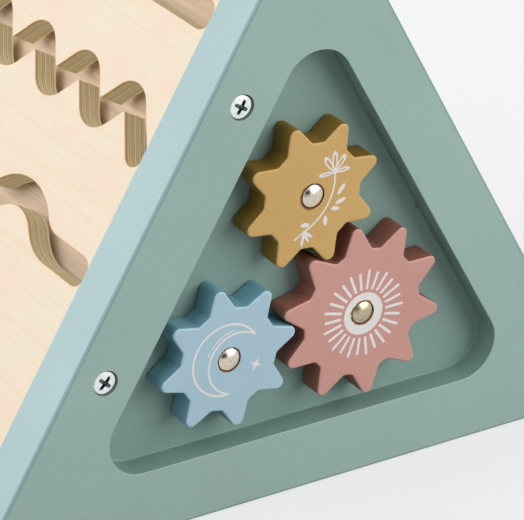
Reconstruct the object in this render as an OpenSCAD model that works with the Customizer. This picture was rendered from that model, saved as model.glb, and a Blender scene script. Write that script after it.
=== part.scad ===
// Wooden activity triangle for small children.
// A triangular box stands on its two painted end panels. The front end panel
// has a sunk triangle with three toothed wheels that turn each other by hand.
// The left slope is a plywood panel with three cut tracks, each with a sliding
// knob. The right slope and the bottom are plain plywood panels.
// Millimetres. X is to the right, Y goes from the front panel to the rear
// panel and Z is up. The origin is the middle of the footprint.

/* [Body] */
// Side of the equilateral triangle before its corners are rounded
side = 250; // [230:1:280]
// Radius of the outer corners
corner_r = 12; // [8:0.5:16]
// Length over the two end panels
total_len = 200; // [175:1:240]
// Thickness of the ring that surrounds the sunk triangle
ring_t = 10; // [8.5:0.5:14]
// Thickness of the plate behind the ring
plate_t = 8; // [6:0.5:12]
// Thickness of the rear end panel
rear_t = 18; // [14:0.5:22]
// Rounding of the outer edges of the end panels
edge_r = 1.5; // [0.5:0.25:2.5]

/* [Sunk triangle] */
// Width of the band round the sunk triangle
band_w = 23; // [20:0.5:24]
// Corner radius of the sunk triangle
pocket_r = 13; // [8:0.5:16]
// Sideways offset of the sunk triangle
pocket_dx = 1.4; // [0:0.1:1.8]

/* [Toothed wheels] */
// Pitch diameter of the upper and the left wheel
small_pitch_d = 46; // [44:0.4:47.2]
// Teeth on the upper and the left wheel
teeth_small = 8; // [8:1:8]
// Teeth on the right wheel
teeth_big = 10; // [10:1:10]
// Height of a small wheel's tooth tip above its pitch circle
add_small = 2.6; // [2.2:0.1:2.7]
// Height of the big wheel's tooth tip above its pitch circle
add_big = 2.45; // [2.1:0.05:2.55]
// Half the thickness of a small wheel's tooth at its pitch circle
half_small = 2.7; // [2.4:0.05:2.75]
// Half the thickness of the big wheel's tooth at its pitch circle
half_big = 2.5; // [2.3:0.05:2.55]
// Whole height of a small wheel's tooth
depth_small = 7.2; // [6.9:0.1:7.6]
// Whole height of the big wheel's tooth
depth_big = 8.4; // [7.8:0.1:8.8]
// Slope of the tooth flanks
flank_deg = 24; // [22:0.5:25]
// Rounding at the foot of a tooth
root_r = 1.5; // [0.8:0.1:2]
// Big wheel's axle, to the right of the middle
big_x = 21.9; // [20:0.1:23]
// Big wheel's axle above the floor
big_z = 59.8; // [59:0.1:62]
// Direction from the big wheel to the upper wheel
upper_dir = 114.2; // [113:0.1:116]
// Direction from the big wheel to the left wheel
left_dir = 184.3; // [182:0.1:185]
// Direction of one tooth of the big wheel
big_phase = 96.1; // [90:0.1:100]
// Upper wheel, degrees from the middle of its play in the mesh
upper_lag = -7; // [-7.2:0.1:7.2]
// Left wheel, degrees from the middle of its play in the mesh
left_lag = 7.2; // [-7.2:0.1:7.2]
// Gap between a wheel and the floor of the sunk triangle
wheel_float = 0.5; // [0.3:0.1:0.8]

/* [Axles] */
// Diameter of an axle
axle_d = 5; // [4:0.1:6]
// Running clearance of a wheel on its axle, on the radius
axle_clear = 0.05; // [0.03:0.01:0.1]
// Diameter of an axle's domed head
axle_head_d = 7.8; // [7.4:0.1:9]
// Height of the dome in front of the wheel
axle_dome = 1.2; // [0.8:0.1:1.6]
// Length of the head below the wheel's face
axle_head_t = 2.2; // [1.6:0.1:3]
// Clearance round and under the head
axle_head_gap = 0.3; // [0.3:0.05:0.5]

/* [Plywood panels] */
// Thickness of the plywood
ply_t = 9; // [8:0.5:10]
// How far the plywood lies behind the rim of the end panels
ply_inset = 8; // [7.5:0.5:10]
// Width of the tracks
track_w = 10; // [9:0.5:11]
// Distance of the first and the last track centre from the end panels
track_end = 14.3; // [13.5:0.1:16]

/* [Zigzag track] */
// Lowest centre line of the zigzag, up the slope
zig_low = 143.7; // [142:0.1:145]
// Height of the zigzag
zig_h = 16.6; // [14:0.1:18]
// Length of half a period
zig_half = 14.6; // [14.3:0.05:14.8]
// Bend radius of the centre line
zig_bend = 5.7; // [5.6:0.1:6]

/* [Wave track] */
// Straight part of the wave, up the slope
wave_low = 100.9; // [98:0.1:102]
// Height of the wave
wave_h = 10.1; // [8:0.1:11]
// Distance along the box from a trough to a crest
wave_half = 24.9; // [23:0.1:26]
// Share of the bend radius that the crests have
wave_share = 0.54; // [0.5:0.01:0.56]

/* [Straight track] */
// Centre line of the straight track, up the slope
line_s = 192.7; // [190:0.1:194]

/* [Sliders] */
// Diameter of a peg
peg_d = 9.4; // [8.2:0.1:9.4]
// Least clearance of a peg in its track, on the radius
peg_clear = 0.3; // [0.3:0.05:0.5]
// Diameter of a knob
knob_d = 20; // [17:0.5:23]
// Height of a knob
knob_h = 12; // [10:0.5:15]
// Rounding of a knob's outer edge
knob_round = 4; // [2:0.5:5]
// Depth of a peg in its knob
knob_seat = 7; // [5:0.5:8]
// Diameter of the disc that holds a slider behind the plywood
disc_d = 17; // [15:0.5:18]
// Thickness of that disc
disc_t = 3.5; // [3:0.25:4]
// Clearance of a knob and of a disc from the plywood
slide_gap = 0.5; // [0.3:0.05:0.6]

/* [Backing] */
// Thickness of the board behind the tracks
back_t = 4; // [3:0.5:6]
// Width of the strips that hold the board off the plywood
strip_w = 10; // [8:0.5:12]
// Lower edge of the lower strip, up the slope
strip_low = 76; // [74:0.5:78]
// Clearance between the upper strip and the disc of the straight track
strip_gap = 2.3; // [1.8:0.1:3]

/* [Fixings] */
// Distance of each screw from the middle of the slope
screw_off = 48.7; // [48:0.1:49.5]
// Diameter of a screw head
screw_head_d = 8.2; // [7.6:0.1:8.6]
// Height of the head's dome
screw_dome = 0.7; // [0.5:0.05:1]
// Depth of the head's cone
screw_cone = 2.1; // [1.8:0.1:2.6]
// Diameter of a screw
screw_d = 4; // [3.5:0.1:4.5]
// Length of a screw
screw_len = 40; // [32:1:50]
// Length of a screw's point
screw_tip = 5; // [4:0.5:6]
// Width of the cross recess
cross_w = 4.6; // [4:0.1:5]
// Width of one arm of the cross recess
cross_arm = 0.9; // [0.8:0.05:1.2]
// Depth of the cross recess below the face
cross_deep = 1.2; // [1:0.1:1.4]
// Diameter of a dowel
dowel_d = 6; // [5:0.5:6.5]
// Depth of a dowel in each panel
dowel_in = 14; // [11:0.5:14.5]
// Distance of each dowel from the middle of its panel
dowel_off = 70; // [60:1:74]

/* [Hidden] */
$fn = 64;
eps = 0.01;
// Overlap of shapes that are joined into one piece
lap = 1;
// What a tooth's arcs are larger by, so that they cross its straight lines
fine = 0.005;
rise = side * sqrt(3) / 2;
mid_z = side / (2 * sqrt(3));
wall_t = ring_t + plate_t;
inner_len = total_len - wall_t - rear_t;
// The axle domes stand out more at the front than the screws do at the rear
shift_y = (axle_dome - screw_dome) / 2;
front_y = -total_len / 2 + shift_y;
rear_y = front_y + total_len;
floor_y = front_y + ring_t;
inner_y = front_y + wall_t;
back_y = rear_y - rear_t;
wheel_t = ring_t - wheel_float;

// Wheels: pitch radii, centres and tooth directions
pitch_small = small_pitch_d / 2;
pitch_big = pitch_small * teeth_big / teeth_small;
centres = pitch_small + pitch_big;
upper_at = [big_x + centres * cos(upper_dir), big_z + centres * sin(upper_dir)];
left_at = [big_x + centres * cos(left_dir), big_z + centres * sin(left_dir)];
big_at = [big_x, big_z];
upper_phase = mesh_phase(upper_dir) + upper_lag;
left_phase = mesh_phase(left_dir) + left_lag;

// Slope: places along it of the panels' corners, and the zigzag's corners
ply_mid = ply_inset + ply_t / 2;
gap_q = ply_inset + ply_t;
gap_t = disc_t + 2 * slide_gap;
back_q = gap_q + gap_t;
strip_high = line_s + disc_d / 2 + strip_gap;
// The zigzag has as many legs as the length holds, and an odd number, so that
// it starts low and ends high
zig_room = floor((inner_len - 2 * track_end) / zig_half);
zig_legs = zig_room - (zig_room + 1) % 2;
zig_pts = [for (i = [0 : zig_legs])
    [track_end + i * zig_half, zig_low + (i % 2) * zig_h]];
zig_len = norm([zig_half, zig_h]);
zig_lean = atan2(zig_h, zig_half);
zig_cut = zig_bend * tan(zig_lean);
wave_turn = 2 * atan2(wave_h, wave_half);
wave_sum = wave_half / sin(wave_turn);
wave_r_high = wave_sum * wave_share;
wave_r_low = wave_sum - wave_r_high;
wave_mid = inner_len / 2;
wave_first = wave_mid - 2 * wave_half;
wave_last = wave_mid + 2 * wave_half;
track_far = inner_len - track_end;
screw_s = [side / 2 - screw_off, side / 2 + screw_off];
peg_r = min(peg_d / 2, track_w / 2 - peg_clear);
tilt = 60;

// Direction of a small wheel's tooth, midway in the big wheel's tooth gaps
function mesh_phase(dir) =
    dir + 180 + (180 - (big_phase - dir) * teeth_big) / teeth_small;

// A flat outline in X and Z, made solid from y towards the rear
module along_y(y, t) {
    translate([0, y + t, 0]) rotate([90, 0, 0]) linear_extrude(t) children();
}

// Local x runs to the rear, y up the left slope and z into the box
module on_slope() {
    translate([-side / 2, inner_y, 0])
        rotate([0, -tilt, 0]) rotate([180, 0, 90]) children();
}

// A turned piece whose axis runs from the front towards the rear
module turned(x, y, z) {
    translate([x, y, z]) rotate([-90, 0, 0]) rotate_extrude() children();
}

// Equilateral triangle, inset from the outer sides
module triangle(inset) {
    a = side / 2 - inset * sqrt(3);
    polygon([[-a, inset], [a, inset], [0, rise - 2 * inset]]);
}

// Triangle with round corners, made of its middle, three bars and three discs
module round_triangle(inset, r) {
    triangle(inset + r);
    for (i = [0 : 2]) turn_third(i) {
        a = side / 2 - (inset + r) * sqrt(3);
        translate([-a, inset]) square([2 * a, r + lap]);
        translate([a, inset + r]) circle(r);
    }
}

module turn_third(i) {
    translate([0, mid_z]) rotate(120 * i) translate([0, -mid_z]) children();
}

// End panel whose outer edge is rounded on the face at depth 0
module end_slab(t) {
    difference() {
        along_y(0, t) round_triangle(0, corner_r);
        for (i = [0 : 2])
            translate([0, 0, mid_z]) rotate([0, -120 * i, 0])
                translate([0, 0, -mid_z]) edge_cutter();
    }
}

// What rounding takes off one side and off the corner at its right end
module edge_cutter() {
    a = side / 2 - corner_r * sqrt(3);
    far = 2 * corner_r;
    translate([-a, 0, 0]) rotate([90, 0, 90]) linear_extrude(2 * a)
        rounding();
    translate([a, 0, corner_r]) intersection() {
        rotate([-90, 0, 0]) rotate_extrude()
            translate([corner_r, 0]) rotate(90) rounding();
        along_y(-2 * lap, edge_r + 4 * lap) polygon([[0, 0],
            far * [cos(-90), sin(-90)], far * [cos(-30), sin(-30)],
            far * [cos(30), sin(30)]]);
    }
}

// Section of the waste: x is the depth and y the distance from the rim
module rounding() {
    difference() {
        translate([-lap, -lap]) square(edge_r + lap);
        translate([edge_r, edge_r]) circle(edge_r);
    }
}

// Section of a plywood panel with mitred edges, for the bottom
module ply_section(part) {
    turn_third(part) polygon([
        [-side / 2 + ply_inset * sqrt(3), ply_inset],
        [side / 2 - ply_inset * sqrt(3), ply_inset],
        [side / 2 - gap_q * sqrt(3), gap_q],
        [-side / 2 + gap_q * sqrt(3), gap_q]
    ]);
}

module front_screw_places() {
    for (s = screw_s) slope_point(s) children();
}

// Place on the front face, s up the slope and in the middle of the plywood
module slope_point(s) {
    translate([
        -side / 2 + s * cos(tilt) + ply_mid * sin(tilt),
        0,
        s * sin(tilt) - ply_mid * cos(tilt)
    ]) children();
}

// Half section of a screw: x is the radius and y the depth in the wood
module screw_section() {
    dome_r = (pow(screw_head_d / 2, 2) + pow(screw_dome, 2)) / (2 * screw_dome);
    polygon([
        [0, 0], [screw_head_d / 2, 0], [screw_d / 2, screw_cone],
        [screw_d / 2, screw_len - screw_tip], [0, screw_len]
    ]);
    intersection() {
        translate([0, dome_r - screw_dome]) circle(dome_r, $fn = 128);
        translate([0, -screw_dome]) square([screw_head_d / 2, screw_dome + eps]);
    }
}

module screw_solid() {
    difference() {
        rotate([-90, 0, 0]) rotate_extrude() screw_section();
        for (turn = [20, 110])
            rotate([0, turn, 0])
                translate([-cross_w / 2, -screw_dome - 1, -cross_arm / 2])
                    cube([cross_w, cross_deep + screw_dome + 1, cross_arm]);
    }
}

// The same screw without its dome and recess, for the holes
module screw_hole() {
    rotate([-90, 0, 0]) rotate_extrude() polygon([
        [0, -1], [screw_head_d / 2, -1], [screw_head_d / 2, 0],
        [screw_d / 2, screw_cone], [screw_d / 2, screw_len - screw_tip],
        [0, screw_len]
    ]);
}

module front_screws_cut() {
    translate([0, front_y, 0]) front_screw_places() screw_hole();
}

module rear_screws_cut() {
    translate([0, rear_y, 0]) front_screw_places() mirror([0, 1, 0]) screw_hole();
}

// Dowels of one panel, part 0 is the bottom and part 1 the right slope
module dowels(part, longer = 0) {
    translate([0, 0, mid_z]) rotate([0, -120 * part, 0])
        translate([0, 0, -mid_z])
            for (x = [-dowel_off, dowel_off], y = [inner_y, back_y])
                translate([x, y, ply_mid]) rotate([90, 0, 0])
                    cylinder(d = dowel_d, h = 2 * dowel_in + longer, center = true);
}

// Half a tooth's outline: the flank passes the pitch circle at half its
// thickness, ends in a round tip and meets the flat bottom of the gap
function tip_r(half, add) =
    (half - add * tan(flank_deg)) * cos(flank_deg) / (1 - sin(flank_deg));
function foot(n, pitch_r, half, add, depth) =
    let (t = tan(flank_deg), c = cos(180 / n), s = sin(180 / n),
         d = pitch_r + add - depth,
         x = (d - s * (half + pitch_r * t)) / (c - s * t))
    [x, half + (pitch_r - x) * t];
function turned_point(p, a) =
    [p[0] * cos(a) - p[1] * sin(a), p[0] * sin(a) + p[1] * cos(a)];

module wheel_outline(n, pitch_r, half, add, depth) {
    f = foot(n, pitch_r, half, add, depth);
    r = tip_r(half, add);
    top = pitch_r + add - r;
    side_pt = [top + r * sin(flank_deg), r * cos(flank_deg)];
    // The fillet at the foot touches the flank and the bottom of the gap
    up = [cos(flank_deg), -sin(flank_deg)];
    out = [-sin(180 / n), cos(180 / n)];
    half_gap = acos(up * out) / 2;
    bis = (up + out) / norm(up + out);
    reach = root_r / tan(half_gap);
    centre = f + bis * root_r / sin(half_gap);
    polygon([for (i = [0 : n - 1], k = [-1, 1])
        turned_point([f[0], k * f[1]], i * 360 / n)]);
    for (i = [0 : n - 1]) rotate(i * 360 / n) {
        polygon([[0, 0], [f[0], -f[1]], [side_pt[0], -side_pt[1]],
            [top, 0], side_pt, f]);
        translate([top, 0]) circle(r + fine);
        for (k = [0, 1]) mirror([0, k]) difference() {
            polygon([0.8 * f, f + up * reach, f + out * reach]);
            translate(centre) circle(root_r + fine);
        }
    }
}

module wheel(at, n, pitch_r, half, add, depth, phase) {
    difference() {
        translate([at[0], 0, at[1]]) along_y(front_y, wheel_t)
            rotate(phase) wheel_outline(n, pitch_r, half, add, depth);
        turned(at[0], front_y, at[1])
            translate([0, -1]) square([axle_d / 2 + axle_clear, wheel_t + 2]);
        turned(at[0], front_y, at[1])
            translate([0, -1]) square([
                axle_head_d / 2 + axle_head_gap,
                axle_head_t + axle_head_gap + 1
            ]);
    }
}

module axle(at) {
    h = axle_head_d / 2;
    dome_r = (h * h + axle_dome * axle_dome) / (2 * axle_dome);
    turned(at[0], front_y, at[1]) {
        square([h, axle_head_t]);
        square([axle_d / 2, wall_t]);
        intersection() {
            translate([0, dome_r - axle_dome]) circle(dome_r, $fn = 128);
            translate([0, -axle_dome]) square([h, axle_dome + eps]);
        }
    }
}

// Part of a round bend of a track, between two directions from its centre
module bend(at, r, from, to) {
    big = 1.3 * (r + track_w / 2);
    translate(at) intersection() {
        difference() {
            circle(r + track_w / 2);
            circle(r - track_w / 2);
        }
        polygon([[0, 0], big * [cos(from), sin(from)],
            big * [cos((from + to) / 2), sin((from + to) / 2)],
            big * [cos(to), sin(to)]]);
    }
}

// Straight piece of a track between two points
module run(p, q) {
    translate(p) rotate(atan2(q[1] - p[1], q[0] - p[0]))
        translate([0, -track_w / 2]) square([norm(q - p), track_w]);
}

module line_track() {
    run([track_end, line_s], [track_far, line_s]);
    for (u = [track_end, track_far]) translate([u, line_s]) circle(track_w / 2);
}

module zigzag_track() {
    for (i = [0 : zig_legs - 1]) {
        dir = (zig_pts[i + 1] - zig_pts[i]) / zig_len;
        from = zig_pts[i] + dir * (i == 0 ? 0 : zig_cut);
        to = zig_pts[i + 1] - dir * (i == zig_legs - 1 ? 0 : zig_cut);
        run(from, to);
    }
    for (p = [zig_pts[0], zig_pts[zig_legs]]) translate(p) circle(track_w / 2);
    for (i = [1 : zig_legs - 1]) {
        // A peak bends over a centre below it, a valley under one above it
        up = i % 2 == 1 ? 1 : -1;
        bend(zig_pts[i] - [0, up * zig_bend / cos(zig_lean)], zig_bend,
            up * 90 - zig_lean, up * 90 + zig_lean);
    }
}

module wave_track() {
    low = wave_low + wave_r_low;
    high = wave_low + wave_h - wave_r_high;
    run([track_end, wave_low], [wave_first, wave_low]);
    run([wave_last, wave_low], [track_far, wave_low]);
    for (u = [track_end, track_far]) translate([u, wave_low]) circle(track_w / 2);
    bend([wave_first, low], wave_r_low, -90, -90 + wave_turn);
    bend([wave_last, low], wave_r_low, -90 - wave_turn, -90);
    bend([wave_mid, low], wave_r_low, -90 - wave_turn, -90 + wave_turn);
    for (k = [-1, 1])
        bend([wave_mid + k * wave_half, high], wave_r_high,
            90 - wave_turn, 90 + wave_turn);
}

// Knob, peg and disc of a slider at (u, s) on the slope
module knob(u, s) {
    on_slope() translate([u, s, ply_inset - slide_gap]) mirror([0, 0, 1])
        rotate_extrude() difference() {
            union() {
                square([knob_d / 2, knob_h - knob_round]);
                square([knob_d / 2 - knob_round, knob_h]);
                intersection() {
                    translate([knob_d / 2 - knob_round, knob_h - knob_round])
                        circle(knob_round);
                    square([knob_d / 2, knob_h]);
                }
            }
            square([peg_r, knob_seat]);
        }
}

module peg(u, s) {
    on_slope() translate([u, s, ply_inset - slide_gap - knob_seat])
        cylinder(r = peg_r, h = knob_seat + ply_t + 2 * slide_gap + disc_t);
}

module disc(u, s) {
    on_slope() translate([u, s, gap_q + slide_gap]) difference() {
        cylinder(d = disc_d, h = disc_t);
        translate([0, 0, -1]) cylinder(r = peg_r, h = disc_t + 2);
    }
}

module strip(s) {
    on_slope() translate([0, s, gap_q]) cube([inner_len, strip_w, gap_t]);
}

// Ring with the sunk triangle's opening
module front_ring() {
    color("#94AEA7") difference() {
        translate([0, front_y, 0]) end_slab(ring_t);
        translate([pocket_dx, 0, 0]) along_y(front_y - 1, ring_t + 2)
            round_triangle(band_w, pocket_r);
        front_screws_cut();
        dowels(0);
        dowels(1);
    }
}

// Plate that is the floor of the sunk triangle and carries the axles
module front_plate() {
    color("#94AEA7") difference() {
        along_y(floor_y, plate_t) round_triangle(0, corner_r);
        for (at = [upper_at, big_at, left_at])
            translate([at[0], floor_y - 1, at[1]]) rotate([-90, 0, 0])
                cylinder(d = axle_d, h = plate_t + 2);
        front_screws_cut();
        dowels(0);
        dowels(1);
    }
}

module rear_panel() {
    color("#94AEA7") difference() {
        translate([0, rear_y, 0]) mirror([0, 1, 0]) end_slab(rear_t);
        rear_screws_cut();
        dowels(0);
        dowels(1);
    }
}

module track_panel() {
    color("#E9D9BE") difference() {
        along_y(inner_y, inner_len) ply_section(2);
        on_slope() translate([0, 0, ply_inset - 1]) linear_extrude(ply_t + 2) {
            line_track();
            zigzag_track();
            wave_track();
        }
        front_screws_cut();
        rear_screws_cut();
    }
}

module side_panel() {
    color("#E9D9BE") difference() {
        along_y(inner_y, inner_len) ply_section(1);
        dowels(1);
    }
}

module base_panel() {
    color("#E9D9BE") difference() {
        along_y(inner_y, inner_len) ply_section(0);
        dowels(0);
    }
}

module backing_board() {
    color("#C4AA8A") on_slope() translate([0, strip_low, back_q])
        cube([inner_len, strip_high + strip_w - strip_low, back_t]);
}

module lower_strip() { color("#C4AA8A") strip(strip_low); }
module upper_strip() { color("#C4AA8A") strip(strip_high); }

module small_wheel(at, phase) {
    wheel(at, teeth_small, pitch_small, half_small, add_small, depth_small,
        phase);
}

module upper_wheel() { color("#C4A261") small_wheel(upper_at, upper_phase); }
module left_wheel() { color("#A0BECB") small_wheel(left_at, left_phase); }
module right_wheel() {
    color("#C38F84") wheel(big_at, teeth_big, pitch_big, half_big, add_big,
        depth_big, big_phase);
}

module upper_axle() { color("#B5AFA4") axle(upper_at); }
module right_axle() { color("#B5AFA4") axle(big_at); }
module left_axle() { color("#B5AFA4") axle(left_at); }

module front_screw(i) {
    color("#8E8C86") translate([0, front_y, 0]) slope_point(screw_s[i])
        screw_solid();
}
module rear_screw(i) {
    color("#8E8C86") translate([0, rear_y, 0]) slope_point(screw_s[i])
        mirror([0, 1, 0]) screw_solid();
}
module front_screw_low() { front_screw(0); }
module front_screw_high() { front_screw(1); }
module rear_screw_low() { rear_screw(0); }
module rear_screw_high() { rear_screw(1); }

module side_dowels() { color("#D9BE92") dowels(1); }
module base_dowels() { color("#D9BE92") dowels(0); }

// The sliders stand at the rear ends of their tracks
module line_knob() { color("#C4A261") knob(track_far, line_s); }
module line_peg() { color("#D9BE92") peg(track_far, line_s); }
module line_disc() { color("#D9BE92") disc(track_far, line_s); }
module zigzag_knob() {
    color("#C38F84") knob(zig_pts[zig_legs][0], zig_pts[zig_legs][1]);
}
module zigzag_peg() {
    color("#D9BE92") peg(zig_pts[zig_legs][0], zig_pts[zig_legs][1]);
}
module zigzag_disc() {
    color("#D9BE92") disc(zig_pts[zig_legs][0], zig_pts[zig_legs][1]);
}
module wave_knob() { color("#A0BECB") knob(track_far, wave_low); }
module wave_peg() { color("#D9BE92") peg(track_far, wave_low); }
module wave_disc() { color("#D9BE92") disc(track_far, wave_low); }

front_ring();
front_plate();
rear_panel();
track_panel();
side_panel();
base_panel();
backing_board();
lower_strip();
upper_strip();
upper_wheel();
right_wheel();
left_wheel();
upper_axle();
right_axle();
left_axle();
front_screw_low();
front_screw_high();
rear_screw_low();
rear_screw_high();
side_dowels();
base_dowels();
line_knob();
line_peg();
line_disc();
zigzag_knob();
zigzag_peg();
zigzag_disc();
wave_knob();
wave_peg();
wave_disc();
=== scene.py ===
"""Looks of the wooden activity triangle with three toothed wheels.

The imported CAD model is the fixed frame. This script builds the pieces that
show, in millimetres and in the frame of the CAD, scales them to metres, and
gives every piece and every CAD node a material made of nodes.
X is to the right, Y runs from the front panel to the rear one and Z is up.
"""

import logging
import math
from dataclasses import dataclass, field
from enum import Enum, IntEnum
from typing import Any, Iterable, Sequence

import bmesh
import bpy
from bmesh.types import BMEdge, BMesh, BMFace, BMVert
from bpy.types import Node, NodeSocket, NodeTree
from mathutils import Matrix, Vector


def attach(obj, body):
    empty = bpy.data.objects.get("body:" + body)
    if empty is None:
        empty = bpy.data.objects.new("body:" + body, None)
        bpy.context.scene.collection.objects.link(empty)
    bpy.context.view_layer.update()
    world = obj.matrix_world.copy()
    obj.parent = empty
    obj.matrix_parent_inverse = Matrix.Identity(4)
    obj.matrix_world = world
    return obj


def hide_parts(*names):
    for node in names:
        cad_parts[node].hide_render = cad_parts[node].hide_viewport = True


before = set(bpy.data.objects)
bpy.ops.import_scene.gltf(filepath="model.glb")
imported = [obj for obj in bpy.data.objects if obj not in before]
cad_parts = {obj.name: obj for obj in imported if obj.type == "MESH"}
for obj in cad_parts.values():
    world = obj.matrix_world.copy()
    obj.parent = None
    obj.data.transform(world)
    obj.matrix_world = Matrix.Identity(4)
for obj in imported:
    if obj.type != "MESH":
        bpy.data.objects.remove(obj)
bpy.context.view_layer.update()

MM = 0.001

# Sizes that several pieces share: the side of the triangle, the outer faces of the
# end panels and their thickness, the place of the plywood below the triangle's side
# and its thickness
SIDE = 250.0
FRONT_Y = -99.75
REAR_Y = 100.25
PANEL = 18.0
PLY_AT = 8.0
PLY = 9.0

# Teeth of the wheels, and direction of one tooth of the big wheel in degrees
BIG_TEETH = 10
SMALL_TEETH = 8
BIG_PHASE = 96.1

# Points that lie closer together than this are one
MERGE = 0.0005

# Number of edges of a bored hole or a screw's rim
ROUND_STEPS = 48

# Colours of the backdrop and of the painted dark reflection that only bright metal shows
BACKDROP = "F2F2F2"
PAINTED_REFLECTION_DARK = "181614"

# Inputs of a Mix node that mixes colours: its factor and its two colours
MIX, UNDER, OVER = 0, 6, 7

# Numbers of the first and the second finish of a piece
FIRST, SECOND = 0, 1

Colour = tuple[float, float, float, float]
log = logging.getLogger("triangle")


# Materials. Their textures lie in metres, so a scale is the number of cells per metre.


def paint(hex_colour: str, share: float = 1.0) -> Colour:
    """Turns an sRGB hex colour into the linear colour of a socket.

    Args:
        hex_colour: Six hex digits.
        share: Factor on the linear colour, to darken or lighten it.

    Returns:
        Linear red, green, blue and an alpha of 1.
    """
    parts = [int(hex_colour[i : i + 2], 16) / 255 for i in (0, 2, 4)]
    linear = [c / 12.92 if c <= 0.04045 else ((c + 0.055) / 1.055) ** 2.4 for c in parts]
    red, green, blue = (min(1.0, c * share) for c in linear)
    return red, green, blue, 1.0


def add_node(
    tree: NodeTree,
    kind: str,
    inputs: dict[str | int, Any] | None = None,
    stops: Sequence[tuple[float, Colour]] = (),
    **settings: Any,
) -> Node:
    """Adds a node with its settings, its values and its links.

    Args:
        tree: Node tree that gets the node.
        kind: Blender's name of the node's type, without ShaderNode before it.
        inputs: What each input gets, by name or number: a value, a socket, or a
            node, which stands for the first output that it uses.
        stops: Places and colours of a colour ramp.
        **settings: The node's own properties.

    Returns:
        The node.
    """
    node = tree.nodes.new(f"ShaderNode{kind}")
    for name, value in settings.items():
        setattr(node, name, value)
    for place, value in (inputs or {}).items():
        if isinstance(value, Node):
            value = next(socket for socket in value.outputs if socket.enabled)
        if isinstance(value, NodeSocket):
            tree.links.new(value, node.inputs[place])
        else:
            node.inputs[place].default_value = value
    marks = node.color_ramp.elements if stops else []
    for i, (place, colour) in enumerate(stops):
        mark = marks[i] if i < 2 else marks.new(place)
        mark.position = place
        mark.color = colour
    return node


def seen_or_mirrored(tree: NodeTree, rays: Node) -> Node:
    """Adds a test for rays that see a surface directly, in metal or through glass.

    Args:
        tree: Node tree of a material or of the world.
        rays: Its light path node.

    Returns:
        The node whose output is 1 for these rays.
    """
    seen = rays.outputs["Is Camera Ray"]
    for kind in ("Is Glossy Ray", "Is Transmission Ray"):
        seen = add_node(tree, "Math", {0: seen, 1: rays.outputs[kind]}, operation="MAXIMUM")
    return seen


def painted_dark_reflection(
    tree: NodeTree, rays: Node, share: Node | NodeSocket, pale: str, ends: tuple[float, float]
) -> Node:
    """Adds a pale colour that turns dark for glossy rays only: a painted dark reflection in bright metal.

    Args:
        tree: Node tree of a material or of the world.
        rays: Its light path node.
        share: How far a place lies within the painted dark patch.
        pale: The pale colour, in sRGB hex.
        ends: Shares at which the colour is still pale and at which it is dark.

    Returns:
        The node that gives the colour.
    """
    glossy = {0: share, 1: rays.outputs["Is Glossy Ray"]}
    mirrored = add_node(tree, "Math", glossy, operation="MULTIPLY")
    stops = [(ends[0], paint(pale)), (ends[1], paint(PAINTED_REFLECTION_DARK))]
    return add_node(tree, "ValToRGB", {"Fac": mirrored}, stops)


@dataclass(frozen=True)
class Finish:
    """A real material with its surface, made once and shared by name."""

    name: str

    def material(self) -> bpy.types.Material:
        """Builds the Blender material at the first call.

        Returns:
            The material.
        """
        made = bpy.data.materials.get(self.name)
        if made is None:
            made = bpy.data.materials.new(self.name)
            made.use_nodes = True
            made.node_tree.nodes.clear()
            self.build(made.node_tree)
        return made

    def build(self, tree: NodeTree) -> None:
        """Adds the nodes of this finish to the empty tree of its material."""
        raise NotImplementedError

    def surface(self, tree: NodeTree, inputs: dict[str | int, Any]) -> None:
        """Adds the Principled shader with these inputs, and the output."""
        shader = add_node(tree, "BsdfPrincipled", inputs)
        add_node(tree, "OutputMaterial", {"Surface": shader})


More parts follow.
